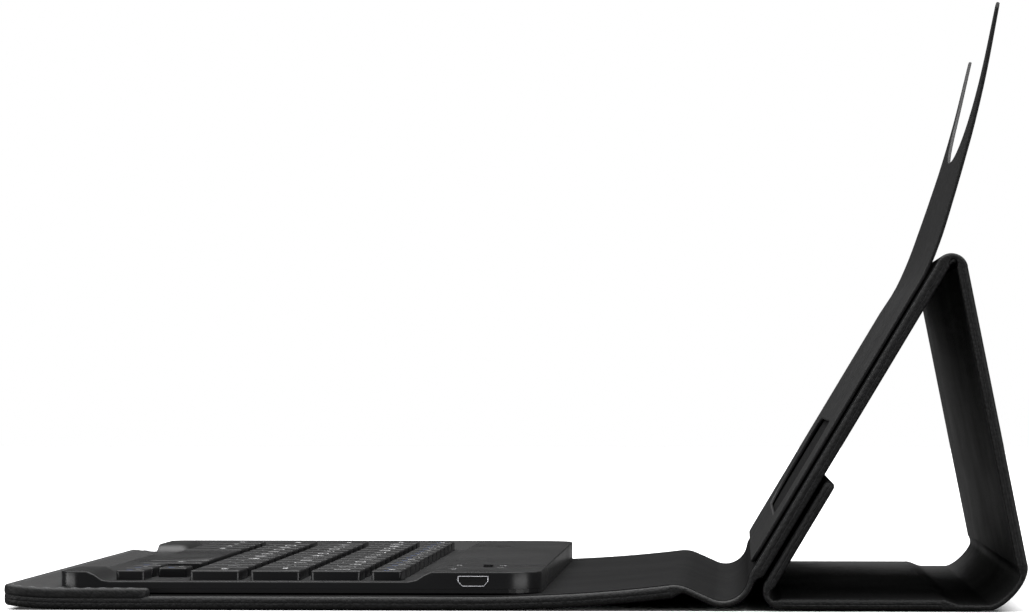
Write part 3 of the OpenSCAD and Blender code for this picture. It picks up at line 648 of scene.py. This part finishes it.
tab_start = panel_back + (toe_rise - panel_back[1]) / math.sin(math.radians(TILT)) * ahead(TILT)
base_end = np.array([tab_start[0] - TOE_R * math.sin(math.radians(toe_turn)), 0.0])


def panel(name, walk, thickness, body, begin):
    """A board's leather wrap and lining between two folds."""
    wrap = new_piece(strip(name + "_wrap", walk, LINING_T, thickness, CASE_W / 2, begin=begin,
                           hollow=(0, 0), seam=0.15), outer_leather)
    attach(wrap, body)
    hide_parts(name + "_leather")
    lining(name + "_cloth", walk, body, name + "_lining", begin=begin)


def slack(start, heading, pull, end, end_heading, end_pull, count):
    """A soft fold between two places and headings, tightest where its pulls are short."""
    a, b, c, d = start, start + pull * ahead(heading), end - end_pull * ahead(end_heading), end
    walk = []
    for k in range(count + 1):
        t = k / count
        place = (1 - t) ** 3 * a + 3 * t * (1 - t) ** 2 * b + 3 * t * t * (1 - t) * c + t ** 3 * d
        way = (1 - t) ** 2 * (b - a) + 2 * t * (1 - t) * (c - b) + t * t * (d - c)
        turned = math.degrees(math.atan2(way[1], way[0]))
        walk.append((place, turned - 360 if turned > 90 else turned))
    return walk


panel("front_panel", straight(front_foot, TILT, FRONT_L), FRONT_T, "front_panel", 190.0)
fold("ridge", bend(front_top, TILT, RIDGE_R, ridge_turn, 22), FRONT_T, PANEL_T,
     ["ridge_fold"])
panel("rear_panel", straight(rear_top, -REAR_LEAN, rear_l), PANEL_T, "rear_panel", 300.0)
fold("heel", joined(slack(rear_foot, -REAR_LEAN, 5.2, heel_end, -180.0, 3.5, 22),
                    straight(heel_end, -180.0, HEEL_FLAT, 1.0)),
     PANEL_T, PANEL_T, ["heel_fold"])
panel("base", straight(base_start, 180.0, base_start[0] - base_end[0]), PANEL_T, "base", 410.0)
fold("toe", bend(base_end, 180.0, TOE_R, toe_turn, 20), PANEL_T, PANEL_T,
     ["toe_fold"])

# The tab's tip is round, and its lining faces the front panel's back
TAB_CORNER = 1.8
tip_stations = [0, 0.2, 0.5, 0.9, 1.5, 2.4, 3.6, 5.0, 7.0]
tab_walk = joined(straight(tab_start, TILT, TAB_L - tip_stations[-1]),
                  [(tab_start + ahead(TILT) * (TAB_L - s), TILT) for s in reversed(tip_stations)])


def tab_half(s, inset=0.0):
    return CASE_W / 2 - inset - rounded_off(TAB_L - inset - s, TAB_CORNER - inset)


TIP_R = 1.3
tab_wrap = new_piece(strip("tab_wrap", tab_walk, lambda s: LINING_T + rounded_off(TAB_L - s, TIP_R),
                           lambda s: PANEL_T - rounded_off(TAB_L - s, TIP_R), tab_half, begin=480.0,
                           hollow=(0, -5), seam=0.15), outer_leather)
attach(tab_wrap, "tab")
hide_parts("tab_leather")
lining("tab_cloth", straight(tab_start, TILT, TAB_L - LINING_INSET, 1.6), "tab", "tab_lining",
       lambda s: tab_half(min(s, TAB_L - LINING_INSET), LINING_INSET))

# ---- Tablet holder ----
# One soft sheet of black synthetic leather, glued to the front panel by two strips below its
# crease. The part above stands free and leans back, cut in a deep scoop between its two tips.
SHEET_HALF = 125.0
SHEET_T, GLUE_T = 0.9, 0.4
CREASE_AT, SHEET_START = 78.5, 0.5
WINDOW = (12.0, 41.0, 75.0, 12.0)
SCOOP, SCOOP_HALF, SCOOP_POWER = 36.0, 116.0, 2.2
sheet_foot = front_foot + SHEET_START * ahead(TILT) + (GLUE_T + SHEET_T / 2) * -right(TILT)
crease_mid = front_foot + CREASE_AT * ahead(TILT) + (GLUE_T + SHEET_T / 2) * -right(TILT)
# Side view of the free part, from the crease to its tips
free_line = [crease_mid] + [np.array(p) for p in (
    (149.9, 85.6), (153.4, 94.2), (156.5, 104.0), (159.2, 113.1), (162.0, 123.1), (165.2, 136.6),
    (168.6, 154.0))]
sheet_line = straight(sheet_foot, TILT, float(np.linalg.norm(crease_mid - sheet_foot)), 3.0)
sheet_spots = np.array([p for p, _ in sheet_line] + free_line[1:])
sheet_runs = np.concatenate([[0], np.cumsum(np.linalg.norm(np.diff(sheet_spots, axis=0), axis=1))])
SHEET_L = float(sheet_runs[-1])
FREE_FROM = float(np.linalg.norm(crease_mid - sheet_foot))


def eased_along(run, values, s):
    """Smooth curve through values at the given runs, read at s."""
    k = int(np.clip(np.searchsorted(run, s) - 1, 0, len(run) - 2))
    a, b = run[k], run[k + 1]
    slopes = [(values[min(j + 1, len(run) - 1)] - values[max(j - 1, 0)])
              / (run[min(j + 1, len(run) - 1)] - run[max(j - 1, 0)]) for j in (k, k + 1)]
    t = (s - a) / (b - a)
    return ((2 * t ** 3 - 3 * t ** 2 + 1) * values[k]
            + (t ** 3 - 2 * t ** 2 + t) * (b - a) * slopes[0]
            + (3 * t ** 2 - 2 * t ** 3) * values[k + 1] + (t ** 3 - t ** 2) * (b - a) * slopes[1])


def on_sheet(x, s, depth):
    """Place of a point of the sheet. The free part leans further back on the left side."""
    place = eased_along(sheet_runs, sheet_spots, s)
    below, above = (eased_along(sheet_runs, sheet_spots, at)
                    for at in (max(s - 0.5, 0.0), min(s + 0.5, SHEET_L)))
    way = (above - below) / np.linalg.norm(above - below)
    free = max(0.0, (s - FREE_FROM) / (SHEET_L - FREE_FROM))
    sway = 1.9 * free * (1 - x / SHEET_HALF) + 0.5 * free * math.sin(x * 0.035)
    lift = 0.5 * free * (1 - x / SHEET_HALF)
    out = place + np.array([way[1], -way[0]]) * depth + np.array([sway, lift])
    return (x * MM, out[0] * MM, out[1] * MM)


def inside(p, loop):
    """True where a point lies inside a closed outline."""
    count = 0
    for a, b in zip(loop, list(loop[1:]) + [loop[0]]):
        spans = (a[1] > p[1]) != (b[1] > p[1])
        if spans and p[0] < (b[0] - a[0]) * (p[1] - a[1]) / (b[1] - a[1]) + a[0]:
            count += 1
    return count % 2 == 1


def rounded_box(x0, x1, y0, y1, front_r, rear_r, count=8):
    """Outline of a box with round corners, anticlockwise from its front left one."""
    return (quarter(np.array([x0 + front_r, y0 + front_r]), front_r, 180, count)
            + quarter(np.array([x1 - front_r, y0 + front_r]), front_r, 270, count)
            + quarter(np.array([x1 - rear_r, y1 - rear_r]), rear_r, 0, count)
            + quarter(np.array([x0 + rear_r, y1 - rear_r]), rear_r, 90, count))


def scooped(x):
    """Height of the sheet's upper edge at a place x across it."""
    return SHEET_L - SCOOP * (1 - min(1.0, abs(x) / SCOOP_HALF) ** SCOOP_POWER)


SHEET_CORNER, TIP_CUT = 5.0, 1.5
sheet_outline = along_line(
    quarter(np.array([-SHEET_HALF + SHEET_CORNER, SHEET_CORNER]), SHEET_CORNER, 180)
    + quarter(np.array([SHEET_HALF - SHEET_CORNER, SHEET_CORNER]), SHEET_CORNER, 270)
    + [np.array([SHEET_HALF, SHEET_L - TIP_CUT]), np.array([SHEET_HALF - TIP_CUT, SHEET_L])]
    + [np.array([x, scooped(x)]) for x in np.linspace(SCOOP_HALF, -SCOOP_HALF, 90)]
    + [np.array([-SHEET_HALF + TIP_CUT, SHEET_L]), np.array([-SHEET_HALF, SHEET_L - TIP_CUT]),
       np.array([-SHEET_HALF, SHEET_CORNER + 1.0])], 3.0)
low, high, half, bend_r = WINDOW
window_outline = along_line(
    rounded_box(-half, half, low, high, bend_r, bend_r)
    + [np.array([-half, low + bend_r + 0.5])], 3.0)
cloth_grid = [(x, s) for x in np.arange(-120.0, 121.0, 5.0)
              for s in np.arange(4.0, SHEET_L - 2, 4.0)
              if s < scooped(x) - 2.5 and not (abs(x) < half + 2 and low - 2 < s < high + 2)]
spots, triangles, loops = filled(sheet_outline, [window_outline], cloth_grid)
cloth_verts = [on_sheet(x, s, depth) for depth in (-SHEET_T / 2, SHEET_T / 2) for x, s in spots]
cloth_faces = triangles + [tuple(v + len(spots) for v in reversed(face)) for face in triangles]
for loop in loops:
    cloth_faces += [(a, b, b + len(spots), a + len(spots))
                    for a, b in zip(loop, loop[1:] + loop[:1])]
cloth_mesh = new_mesh("holder_cloth", cloth_verts, cloth_faces)
cloth_uv = cloth_mesh.uv_layers.new(name="metres")
for loop in cloth_mesh.loops:
    x, s = spots[loop.vertex_index % len(spots)]
    cloth_uv.data[loop.index].uv = (x * MM + 0.5, s * MM + 0.5)
holder_leather = leather("holder_leather", 0.0008, 0.00006, LEATHER_BLACK, (0.004, 0.004, 0.004),
                         0.52, 0.06)
holder_cloth = new_piece(closed(cloth_mesh), holder_leather)
soft_rim = holder_cloth.modifiers.new("soft_rim", "BEVEL")
soft_rim.width = 0.00025
soft_rim.segments = 2
soft_rim.limit_method = "ANGLE"
soft_rim.angle_limit = math.radians(50)
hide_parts("holder_sheet", "holder_flap")
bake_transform(holder_cloth)

# ---- Keyboard: top shell ----
# Injection-moulded satin black plastic, 0.6 mm thick, with an opening for each key. It rises to a
# block at the rear for the battery, and to a low boss at each front corner.
kb_low, kb_high = (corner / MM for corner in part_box("keyboard_top_shell"))
KB_FRONT_R, KB_REAR_R = 5.0, 10.0
BED_Z, BLOCK_H, BOSS_H = 6.8, 2.5, 2.5
BLOCK_Y, RAMP = 19.35, 4.5
BOSS_FLAT, BOSS_L, BOSS_W, BOSS_END = 7.0, 12.0, 45.0, 12.0
SHELL_T, KEY_CLEAR = 0.6, 0.25
KEY_ROUND = 0.9
KEY_COUNTS = {
    "key_control": 1, "key_function": 1, "key_option": 1, "key_command": 1, "key_space": 1,
    "key_alternate": 1, "key_left": 1, "key_down": 1, "key_up": 1, "key_right": 1,
    "key_left_shift": 1, "keys_bottom_letters": 10, "key_right_shift": 1, "key_caps_lock": 1,
    "keys_middle_letters": 10, "key_enter": 1, "keys_top_letters": 13, "key_escape": 1,
    "keys_numbers": 11, "key_backspace": 1}
KEY_LIP, KEY_GAP = 0.5, 2.5


def key_boxes(node):
    """(x0, x1, y0, y1) of each keycap of a node, without its lip."""
    a, b = (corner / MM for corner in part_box(node))
    x0, x1, y0, y1 = a.x + KEY_LIP, b.x - KEY_LIP, a.y + KEY_LIP, b.y - KEY_LIP
    count = KEY_COUNTS[node]
    pitch = (x1 - x0 + KEY_GAP) / count
    return [(x0 + k * pitch, x0 + k * pitch + pitch - KEY_GAP, y0, y1) for k in range(count)]


def shell_z(x, y):
    """Height of the top shell's outside."""
    climb = (y - BLOCK_Y) / RAMP
    block = smooth_step(climb) * 0.35 + 0.65 * min(1.0, max(0.0, climb))
    along = 1 - smooth_step((y - kb_low.y - BOSS_FLAT) / (BOSS_L - BOSS_FLAT))
    across = 1 - smooth_step((kb_high.x - BOSS_W + BOSS_END - abs(x)) / BOSS_END)
    return BED_Z + BLOCK_H * block + BOSS_H * along * across


FILLET = [(0.0, 0.35), (0.05, 0.18), (0.17, 0.05), (0.35, 0.0)]
kb_outline = np.array(along_line(
    rounded_box(kb_low.x, kb_high.x, kb_low.y, kb_high.y, KB_FRONT_R, KB_REAR_R, 14), 2.0))
kb_inward = -outline_normals(kb_outline)
key_holes = [along_line(rounded_box(x0 - KEY_CLEAR, x1 + KEY_CLEAR, y0 - KEY_CLEAR, y1 + KEY_CLEAR,
                                    KEY_ROUND + KEY_CLEAR, KEY_ROUND + KEY_CLEAR, 3), 8.0)
             for node in KEY_COUNTS for x0, x1, y0, y1 in key_boxes(node)]
rim_loop = [tuple(p + n * FILLET[-1][0]) for p, n in zip(kb_outline, kb_inward)]
shell_grid = [(x, y) for x in np.arange(-120.0, 120.5, 4.0)
              for y in (BLOCK_Y, BLOCK_Y + 1.5, BLOCK_Y + 3, BLOCK_Y + RAMP)]
shell_grid += [(x, y) for x in np.arange(-119.0, 119.5, 7.0) for y in np.arange(28.0, 50.0, 5.0)]
shell_grid += [(side * x, kb_low.y + y) for side in (-1, 1) for x in np.arange(76.0, 121.0, 1.6)
               for y in (1.5, 4.0, 7.0, 8.0, 9.0, 10.0, 11.0, 12.0)]
shell_grid = [p for p in shell_grid if inside(p, rim_loop)]
spots, triangles, loops = filled(rim_loop, key_holes, shell_grid)
shell_verts = [(x * MM, y * MM, shell_z(x, y) * MM) for x, y in spots]
shell_verts += [(x * MM, y * MM, (shell_z(x, y) - SHELL_T) * MM) for x, y in spots]
size = len(spots)
shell_faces = triangles + [tuple(v + size for v in reversed(face)) for face in triangles]
for loop in loops[1:]:
    shell_faces += [(a, b, b + size, a + size) for a, b in zip(loop, loop[1:] + loop[:1])]
rings = [loops[0]]
for step, drop in reversed(FILLET[:-1]):
    rings.append(range(len(shell_verts), len(shell_verts) + len(kb_outline)))
    shell_verts += [(*((p + n * step) * MM), (shell_z(*p) - drop) * MM)
                    for p, n in zip(kb_outline, kb_inward)]
for step in (0.0, FILLET[-1][0]):
    rings.append(range(len(shell_verts), len(shell_verts) + len(kb_outline)))
    shell_verts += [(*((p + n * step) * MM), kb_low.z * MM) for p, n in zip(kb_outline, kb_inward)]
rings.append([v + size for v in loops[0]])
for upper, lower in zip(rings, rings[1:]):
    upper, lower = list(upper), list(lower)
    shell_faces += [(a, b, d, c) for a, b, c, d in zip(upper, upper[1:] + upper[:1],
                                                       lower, lower[1:] + lower[:1])]
shell_mesh = new_mesh("top_shell", shell_verts, shell_faces)

moulding, moulding_in, moulding_out = node_group(
    "moulded_skin", [("Place", "NodeSocketVector", None)],
    [("Height", "NodeSocketFloat"), ("Wear", "NodeSocketFloat")])
spark = add(moulding, "ShaderNodeTexNoise", Vector=moulding_in.outputs["Place"], Scale=2600.0,
            Detail=2.0)
rubbed = add(moulding, "ShaderNodeTexNoise", Vector=moulding_in.outputs["Place"], Scale=35.0,
             Detail=4.0)
moulding.links.new(spark.outputs["Fac"], moulding_out.inputs["Height"])
moulding.links.new(rubbed.outputs["Fac"], moulding_out.inputs["Wear"])


def moulded_plastic(name, colour, gloss, spread=0.04, relief=0.000012):
    made, tree, shader = new_material(name)
    place = add(tree, "ShaderNodeTexCoord")
    skin = add(tree, "ShaderNodeGroup", {"node_tree": moulding}, Place=place.outputs["Object"])
    rough = add(tree, "ShaderNodeMapRange", Value=skin.outputs["Wear"], i1=0.3, i2=0.7,
                i3=gloss - spread, i4=gloss + spread)
    bump = add(tree, "ShaderNodeBump", Strength=0.5, Distance=relief, Height=skin.outputs["Height"])
    feed(tree, shader, Roughness=rough.outputs[0], Normal=bump.outputs[0], Specular_IOR_Level=0.2,
         Base_Color=two_tone(tree, skin.outputs["Wear"], colour, [1.12 * c for c in colour]))
    return made


shell_plastic = moulded_plastic("shell_plastic", (0.007, 0.007, 0.0074), 0.3)
top_shell = new_piece(closed(shell_mesh, 30), shell_plastic)
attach(top_shell, "keyboard")
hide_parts("keyboard_top_shell")

# ---- Keyboard: keycaps ----
# Flat caps of satin black plastic with small radii, each with a lip that the shell holds down.
# A row of equal keys is one node.
CAP_TOP, CAP_LOW, CAP_LIP_T = 9.2, 5.85, 0.3
CAP_H = CAP_TOP - CAP_LOW
# Steps inwards from a cap's outline, each with its height above the cap's lower edge
CAP_STEPS = [(-KEY_LIP, 0.0), (-KEY_LIP, CAP_LIP_T), (0.0, CAP_LIP_T), (0.0, 0.85 * CAP_H),
             (0.04, 0.92 * CAP_H), (0.14, 0.975 * CAP_H), (0.3, CAP_H)]
key_plastic = moulded_plastic("key_plastic", (0.006, 0.006, 0.0064), 0.3, relief=0.00001)


def keycap(node):
    verts, faces = [], []
    for x0, x1, y0, y1 in key_boxes(node):
        outline = np.array(rounded_box(x0, x1, y0, y1, KEY_ROUND, KEY_ROUND, 6))
        inward = -outline_normals(outline)
        first, count = len(verts), len(outline)
        for step, rise in CAP_STEPS:
            verts += [(*((p + n * step) * MM), (CAP_LOW + rise) * MM)
                      for p, n in zip(outline, inward)]
        faces += between(first, count, len(CAP_STEPS))
        faces += [tuple(range(first, first + count))[::-1],
                  tuple(range(len(verts) - count, len(verts)))]
    mesh = new_mesh(node.replace("key", "cap", 1), verts, faces)
    piece = new_piece(closed(mesh, 35), key_plastic)
    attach(piece, node)
    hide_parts(node)


for node in KEY_COUNTS:
    keycap(node)

# ---- Keyboard: printed legends ----
# White ink on the keys, and blue ink for the second functions on the small rear row. The ink lies
# on the cap and moves with it.
LEGENDS = {
    "key_control": ["ctrl"], "key_function": ["fn"], "key_option": ["opt"],
    "key_command": ["cmd"], "key_alternate": ["alt"], "key_left": ["<"], "key_down": ["v"],
    "key_up": ["^"], "key_right": [">"], "key_left_shift": ["shift"],
    "keys_bottom_letters": list("ZXCVBNM,./"), "key_right_shift": ["shift"],
    "key_caps_lock": ["caps"], "keys_middle_letters": list("ASDFGHJKL;"),
    "key_enter": ["enter"], "keys_top_letters": ["tab"] + list("QWERTYUIOP[]"),
    "key_escape": ["esc"], "keys_numbers": list("1234567890-"), "key_backspace": ["del"]}
LEGEND_RISE = 0.03


def ink(name, colour):
    made, tree, shader = new_material(name)
    place = add(tree, "ShaderNodeTexCoord")
    worn = add(tree, "ShaderNodeTexNoise", Vector=place.outputs["Object"], Scale=900.0, Detail=3.0)
    feed(tree, shader, Roughness=0.5, Specular_IOR_Level=0.3,
         Base_Color=two_tone(tree, worn.outputs["Fac"], colour, [0.85 * c for c in colour]))
    return made


white_ink, blue_ink = ink("white_ink", (0.85, 0.85, 0.86)), ink("blue_ink", (0.10, 0.16, 0.42))


def printed(name, prints, height, body):
    """Flat letters lying on a surface. prints is a list of (text, x, y, size, ink) in mm."""
    inks = []
    verts, faces, which = [], [], []
    for words, x, y, size, colour in prints:
        type_data = bpy.data.curves.new(name + "_type", "FONT")
        type_data.body, type_data.size = words, size
        type_data.align_x, type_data.align_y = "CENTER", "CENTER"
        type_data.resolution_u = 2
        holder = bpy.data.objects.new(name + "_type", type_data)
        flat = bpy.data.meshes.new_from_object(holder)
        if colour not in inks:
            inks.append(colour)
        faces += [tuple(v + len(verts) for v in face.vertices) for face in flat.polygons]
        which += [inks.index(colour)] * len(flat.polygons)
        verts += [((x + v.co.x) * MM, (y + v.co.y) * MM, height * MM) for v in flat.vertices]
        bpy.data.objects.remove(holder)
        bpy.data.curves.remove(type_data)
        bpy.data.meshes.remove(flat)
    mesh = new_mesh(name, verts, faces)
    for face, ink_at in zip(mesh.polygons, which):
        face.material_index = ink_at
    piece = new_piece(mesh, *inks)
    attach(piece, body)


for node, texts in LEGENDS.items():
    prints = []
    for text, (x0, x1, y0, y1) in zip(texts, key_boxes(node)):
        small = y1 - y0 < 9
        tall = (3.0 if small else 4.6) if len(text) == 1 else 2.6
        prints.append((text, x0 + min((x1 - x0) * 0.42, 9.0), y0 + (y1 - y0) * 0.6, tall,
                       white_ink))
        if small:
            prints.append(("=" if len(text) > 1 else "o", x1 - 3.4, y0 + (y1 - y0) * 0.45, 3.4,
                           blue_ink))
        elif len(text) == 1:
            prints.append(("-", x1 - 3.6, y0 + (y1 - y0) * 0.3, 2.4, white_ink))
    printed("legend_" + node, prints, CAP_TOP + LEGEND_RISE, node)

# ---- Keyboard: marks on the rear block ----
# Small printed marks beside the three indicator lenses and the power switch, in the same white
# ink as the legends.
printed("printed_marks", [("o", 102.5, 28.9, 3.0, white_ink), ("x", 77.5, 28.9, 3.0, white_ink),
                          ("I", 93.8, 40.2, 2.6, white_ink), ("O", 80.0, 40.2, 2.6, white_ink)],
        BED_Z + BLOCK_H + LEGEND_RISE, "keyboard")

# ---- Parts that show little, or only when it is taken apart ----
# Boards, magnets, metal parts and electronics keep their exact shapes. Each has its own finish,
# which varies finely in colour and roughness as raw board, plating, foil and rubber do.


def coat(node, material):
    """Gives a node of the frame a material of its own."""
    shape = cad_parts[node].data
    shape.materials.clear()
    shape.materials.append(material)


def finish(name, colour, second, rough, metal, scale, relief, nodes, contrast=(0.35, 0.65),
           stretch=(1, 1, 1)):
    """A surface whose colour and roughness vary between two states in a fine noise."""
    made, tree, shader = new_material(name)
    place = add(tree, "ShaderNodeTexCoord")
    aimed = add(tree, "ShaderNodeMapping", Vector=place.outputs["Object"], Scale=stretch)
    fleck = add(tree, "ShaderNodeTexNoise", Vector=aimed.outputs[0], Scale=scale, Detail=5.0,
                Roughness=0.6)
    share = add(tree, "ShaderNodeMapRange", Value=fleck.outputs["Fac"], i1=contrast[0],
                i2=contrast[1])
    gloss = add(tree, "ShaderNodeMapRange", Value=share.outputs[0], i3=rough[0], i4=rough[1])
    bump = add(tree, "ShaderNodeBump", Strength=0.5, Distance=relief, Height=fleck.outputs["Fac"])
    feed(tree, shader, Base_Color=two_tone(tree, share.outputs[0], colour, second),
         Roughness=gloss.outputs[0], Normal=bump.outputs[0], Metallic=metal)
    for node in nodes:
        coat(node, made)
    return made


finish("greyboard", (0.40, 0.37, 0.32), (0.50, 0.47, 0.42), (0.85, 0.95), 0.0, 700.0, 0.00005,
       ["cover_board", "front_panel_board", "rear_panel_board", "base_board", "tab_board"])
finish("nickel_plate", (0.66, 0.66, 0.68), (0.60, 0.60, 0.62), (0.18, 0.3), 1.0, 500.0, 0.000005,
       ["cover_magnets", "tab_magnets", "keyboard_magnets"])
finish("rolled_steel", (0.52, 0.52, 0.54), (0.44, 0.44, 0.46), (0.32, 0.48), 1.0, 900.0, 0.00001,
       ["front_panel_steel_strip", "key_backplate"], stretch=(0.03, 1, 1))
finish("clear_film", (0.50, 0.56, 0.53), (0.30, 0.36, 0.34), (0.2, 0.3), 0.0, 260.0, 0.000004,
       ["switch_membrane"], contrast=(0.48, 0.5), stretch=(1, 0.2, 1))
for node, *look in (
        ("holder_glue_strips", "foam_glue", (0.03, 0.03, 0.03), (0.06, 0.06, 0.06), (0.8, 0.95),
         0.0, 1500.0, 0.00008),
        ("rubber_domes", "white_silicone", (0.72, 0.72, 0.70), (0.66, 0.66, 0.64), (0.55, 0.65),
         0.0, 300.0, 0.00001),
        ("circuit_board", "glass_epoxy", (0.02, 0.12, 0.05), (0.03, 0.17, 0.07), (0.25, 0.4),
         0.0, 600.0, 0.00001),
        ("battery", "foil_pouch", (0.62, 0.63, 0.65), (0.55, 0.56, 0.58), (0.25, 0.45),
         0.9, 90.0, 0.00006),
        ("shell_screws", "dark_plate", (0.10, 0.10, 0.105), (0.07, 0.07, 0.075), (0.3, 0.4),
         1.0, 800.0, 0.00001),
        ("keyboard_feet", "black_rubber", (0.012, 0.012, 0.012), (0.02, 0.02, 0.02),
         (0.75, 0.85), 0.0, 900.0, 0.00003),
        ("indicator_lenses", "clear_lens", (0.35, 0.37, 0.40), (0.45, 0.47, 0.50), (0.1, 0.16),
         0.0, 400.0, 0.000004)):
    finish(*look, [node])
for node in ("keyboard_bottom_shell", "power_switch"):
    coat(node, shell_plastic)

# ---- Charging socket ----
# Folded plated steel round a black tongue, behind a mouth in the shell's right side. Its rolled lip
# stands just proud and is all that catches the light.
SOCKET_W, SOCKET_H, SOCKET_TAPER, LIP_R = 7.6, 2.5, 1.1, 0.16
socket_low, socket_high = (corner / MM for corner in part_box("charging_socket"))
socket_mid = np.array([(socket_low.y + socket_high.y) / 2, (socket_low.z + socket_high.z) / 2])
mouth = np.array(along_line([np.array(p) for p in (
    (-SOCKET_W / 2, SOCKET_H / 2), (-SOCKET_W / 2, -0.1),
    (SOCKET_TAPER - SOCKET_W / 2, -SOCKET_H / 2),
    (SOCKET_W / 2 - SOCKET_TAPER, -SOCKET_H / 2), (SOCKET_W / 2, -0.1),
    (SOCKET_W / 2, SOCKET_H / 2),
    (-SOCKET_W / 2 + 0.3, SOCKET_H / 2))], 0.4))
mouth_out = outline_normals(mouth)
count = len(mouth)
LIP_SIDES = 8
lip_verts = []
for k in range(LIP_SIDES):
    a = 2 * math.pi * k / LIP_SIDES
    lip_verts += [((kb_high.x + LIP_R * math.sin(a)) * MM,
                   *((socket_mid + p + n * LIP_R * math.cos(a)) * MM))
                  for p, n in zip(mouth, mouth_out)]
lip_faces = [tuple(v % len(lip_verts) for v in face) for face in between(0, count, LIP_SIDES + 1)]
lip_mesh = new_mesh("socket_lip", lip_verts, lip_faces)
socket_steel = finish("socket_steel", (0.42, 0.42, 0.44), (0.30, 0.30, 0.32), (0.3, 0.4), 1.0,
                      3000.0, 0.000005,
                      ["charging_socket"])
socket_lip = new_piece(closed(lip_mesh, 60), socket_steel)
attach(socket_lip, "keyboard")
# A black plug across the mouth stands for its dark inside: painted shadow
dark_verts = [((kb_high.x + depth) * MM, *((socket_mid + p) * MM)) for depth in (-0.2, 0.03)
              for p in mouth]
dark_mesh = new_mesh("socket_depth_shadow", dark_verts, [
    tuple(range(count))[::-1], tuple(range(count, 2 * count)), *between(0, count, 2)])
mouth_shadow_black = moulded_plastic("mouth_shadow_black", (0.002, 0.002, 0.002), 0.8)
socket_depth_shadow = new_piece(closed(dark_mesh), mouth_shadow_black)
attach(socket_depth_shadow, "keyboard")
tongue_box = [(kb_high.x + d, socket_mid[0] + y, socket_mid[1] + z) for d in (0.0, 0.06)
              for y, z in ((-1.9, 0.2), (1.9, 0.2), (1.9, 0.65), (-1.9, 0.65))]
tongue_mesh = new_mesh("socket_tongue", [tuple(c * MM for c in v) for v in tongue_box], [
    (0, 1, 2, 3), (7, 6, 5, 4), (0, 4, 5, 1), (1, 5, 6, 2), (2, 6, 7, 3), (3, 7, 4, 0)])
socket_tongue = new_piece(closed(tongue_mesh), shell_plastic)
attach(socket_tongue, "keyboard")
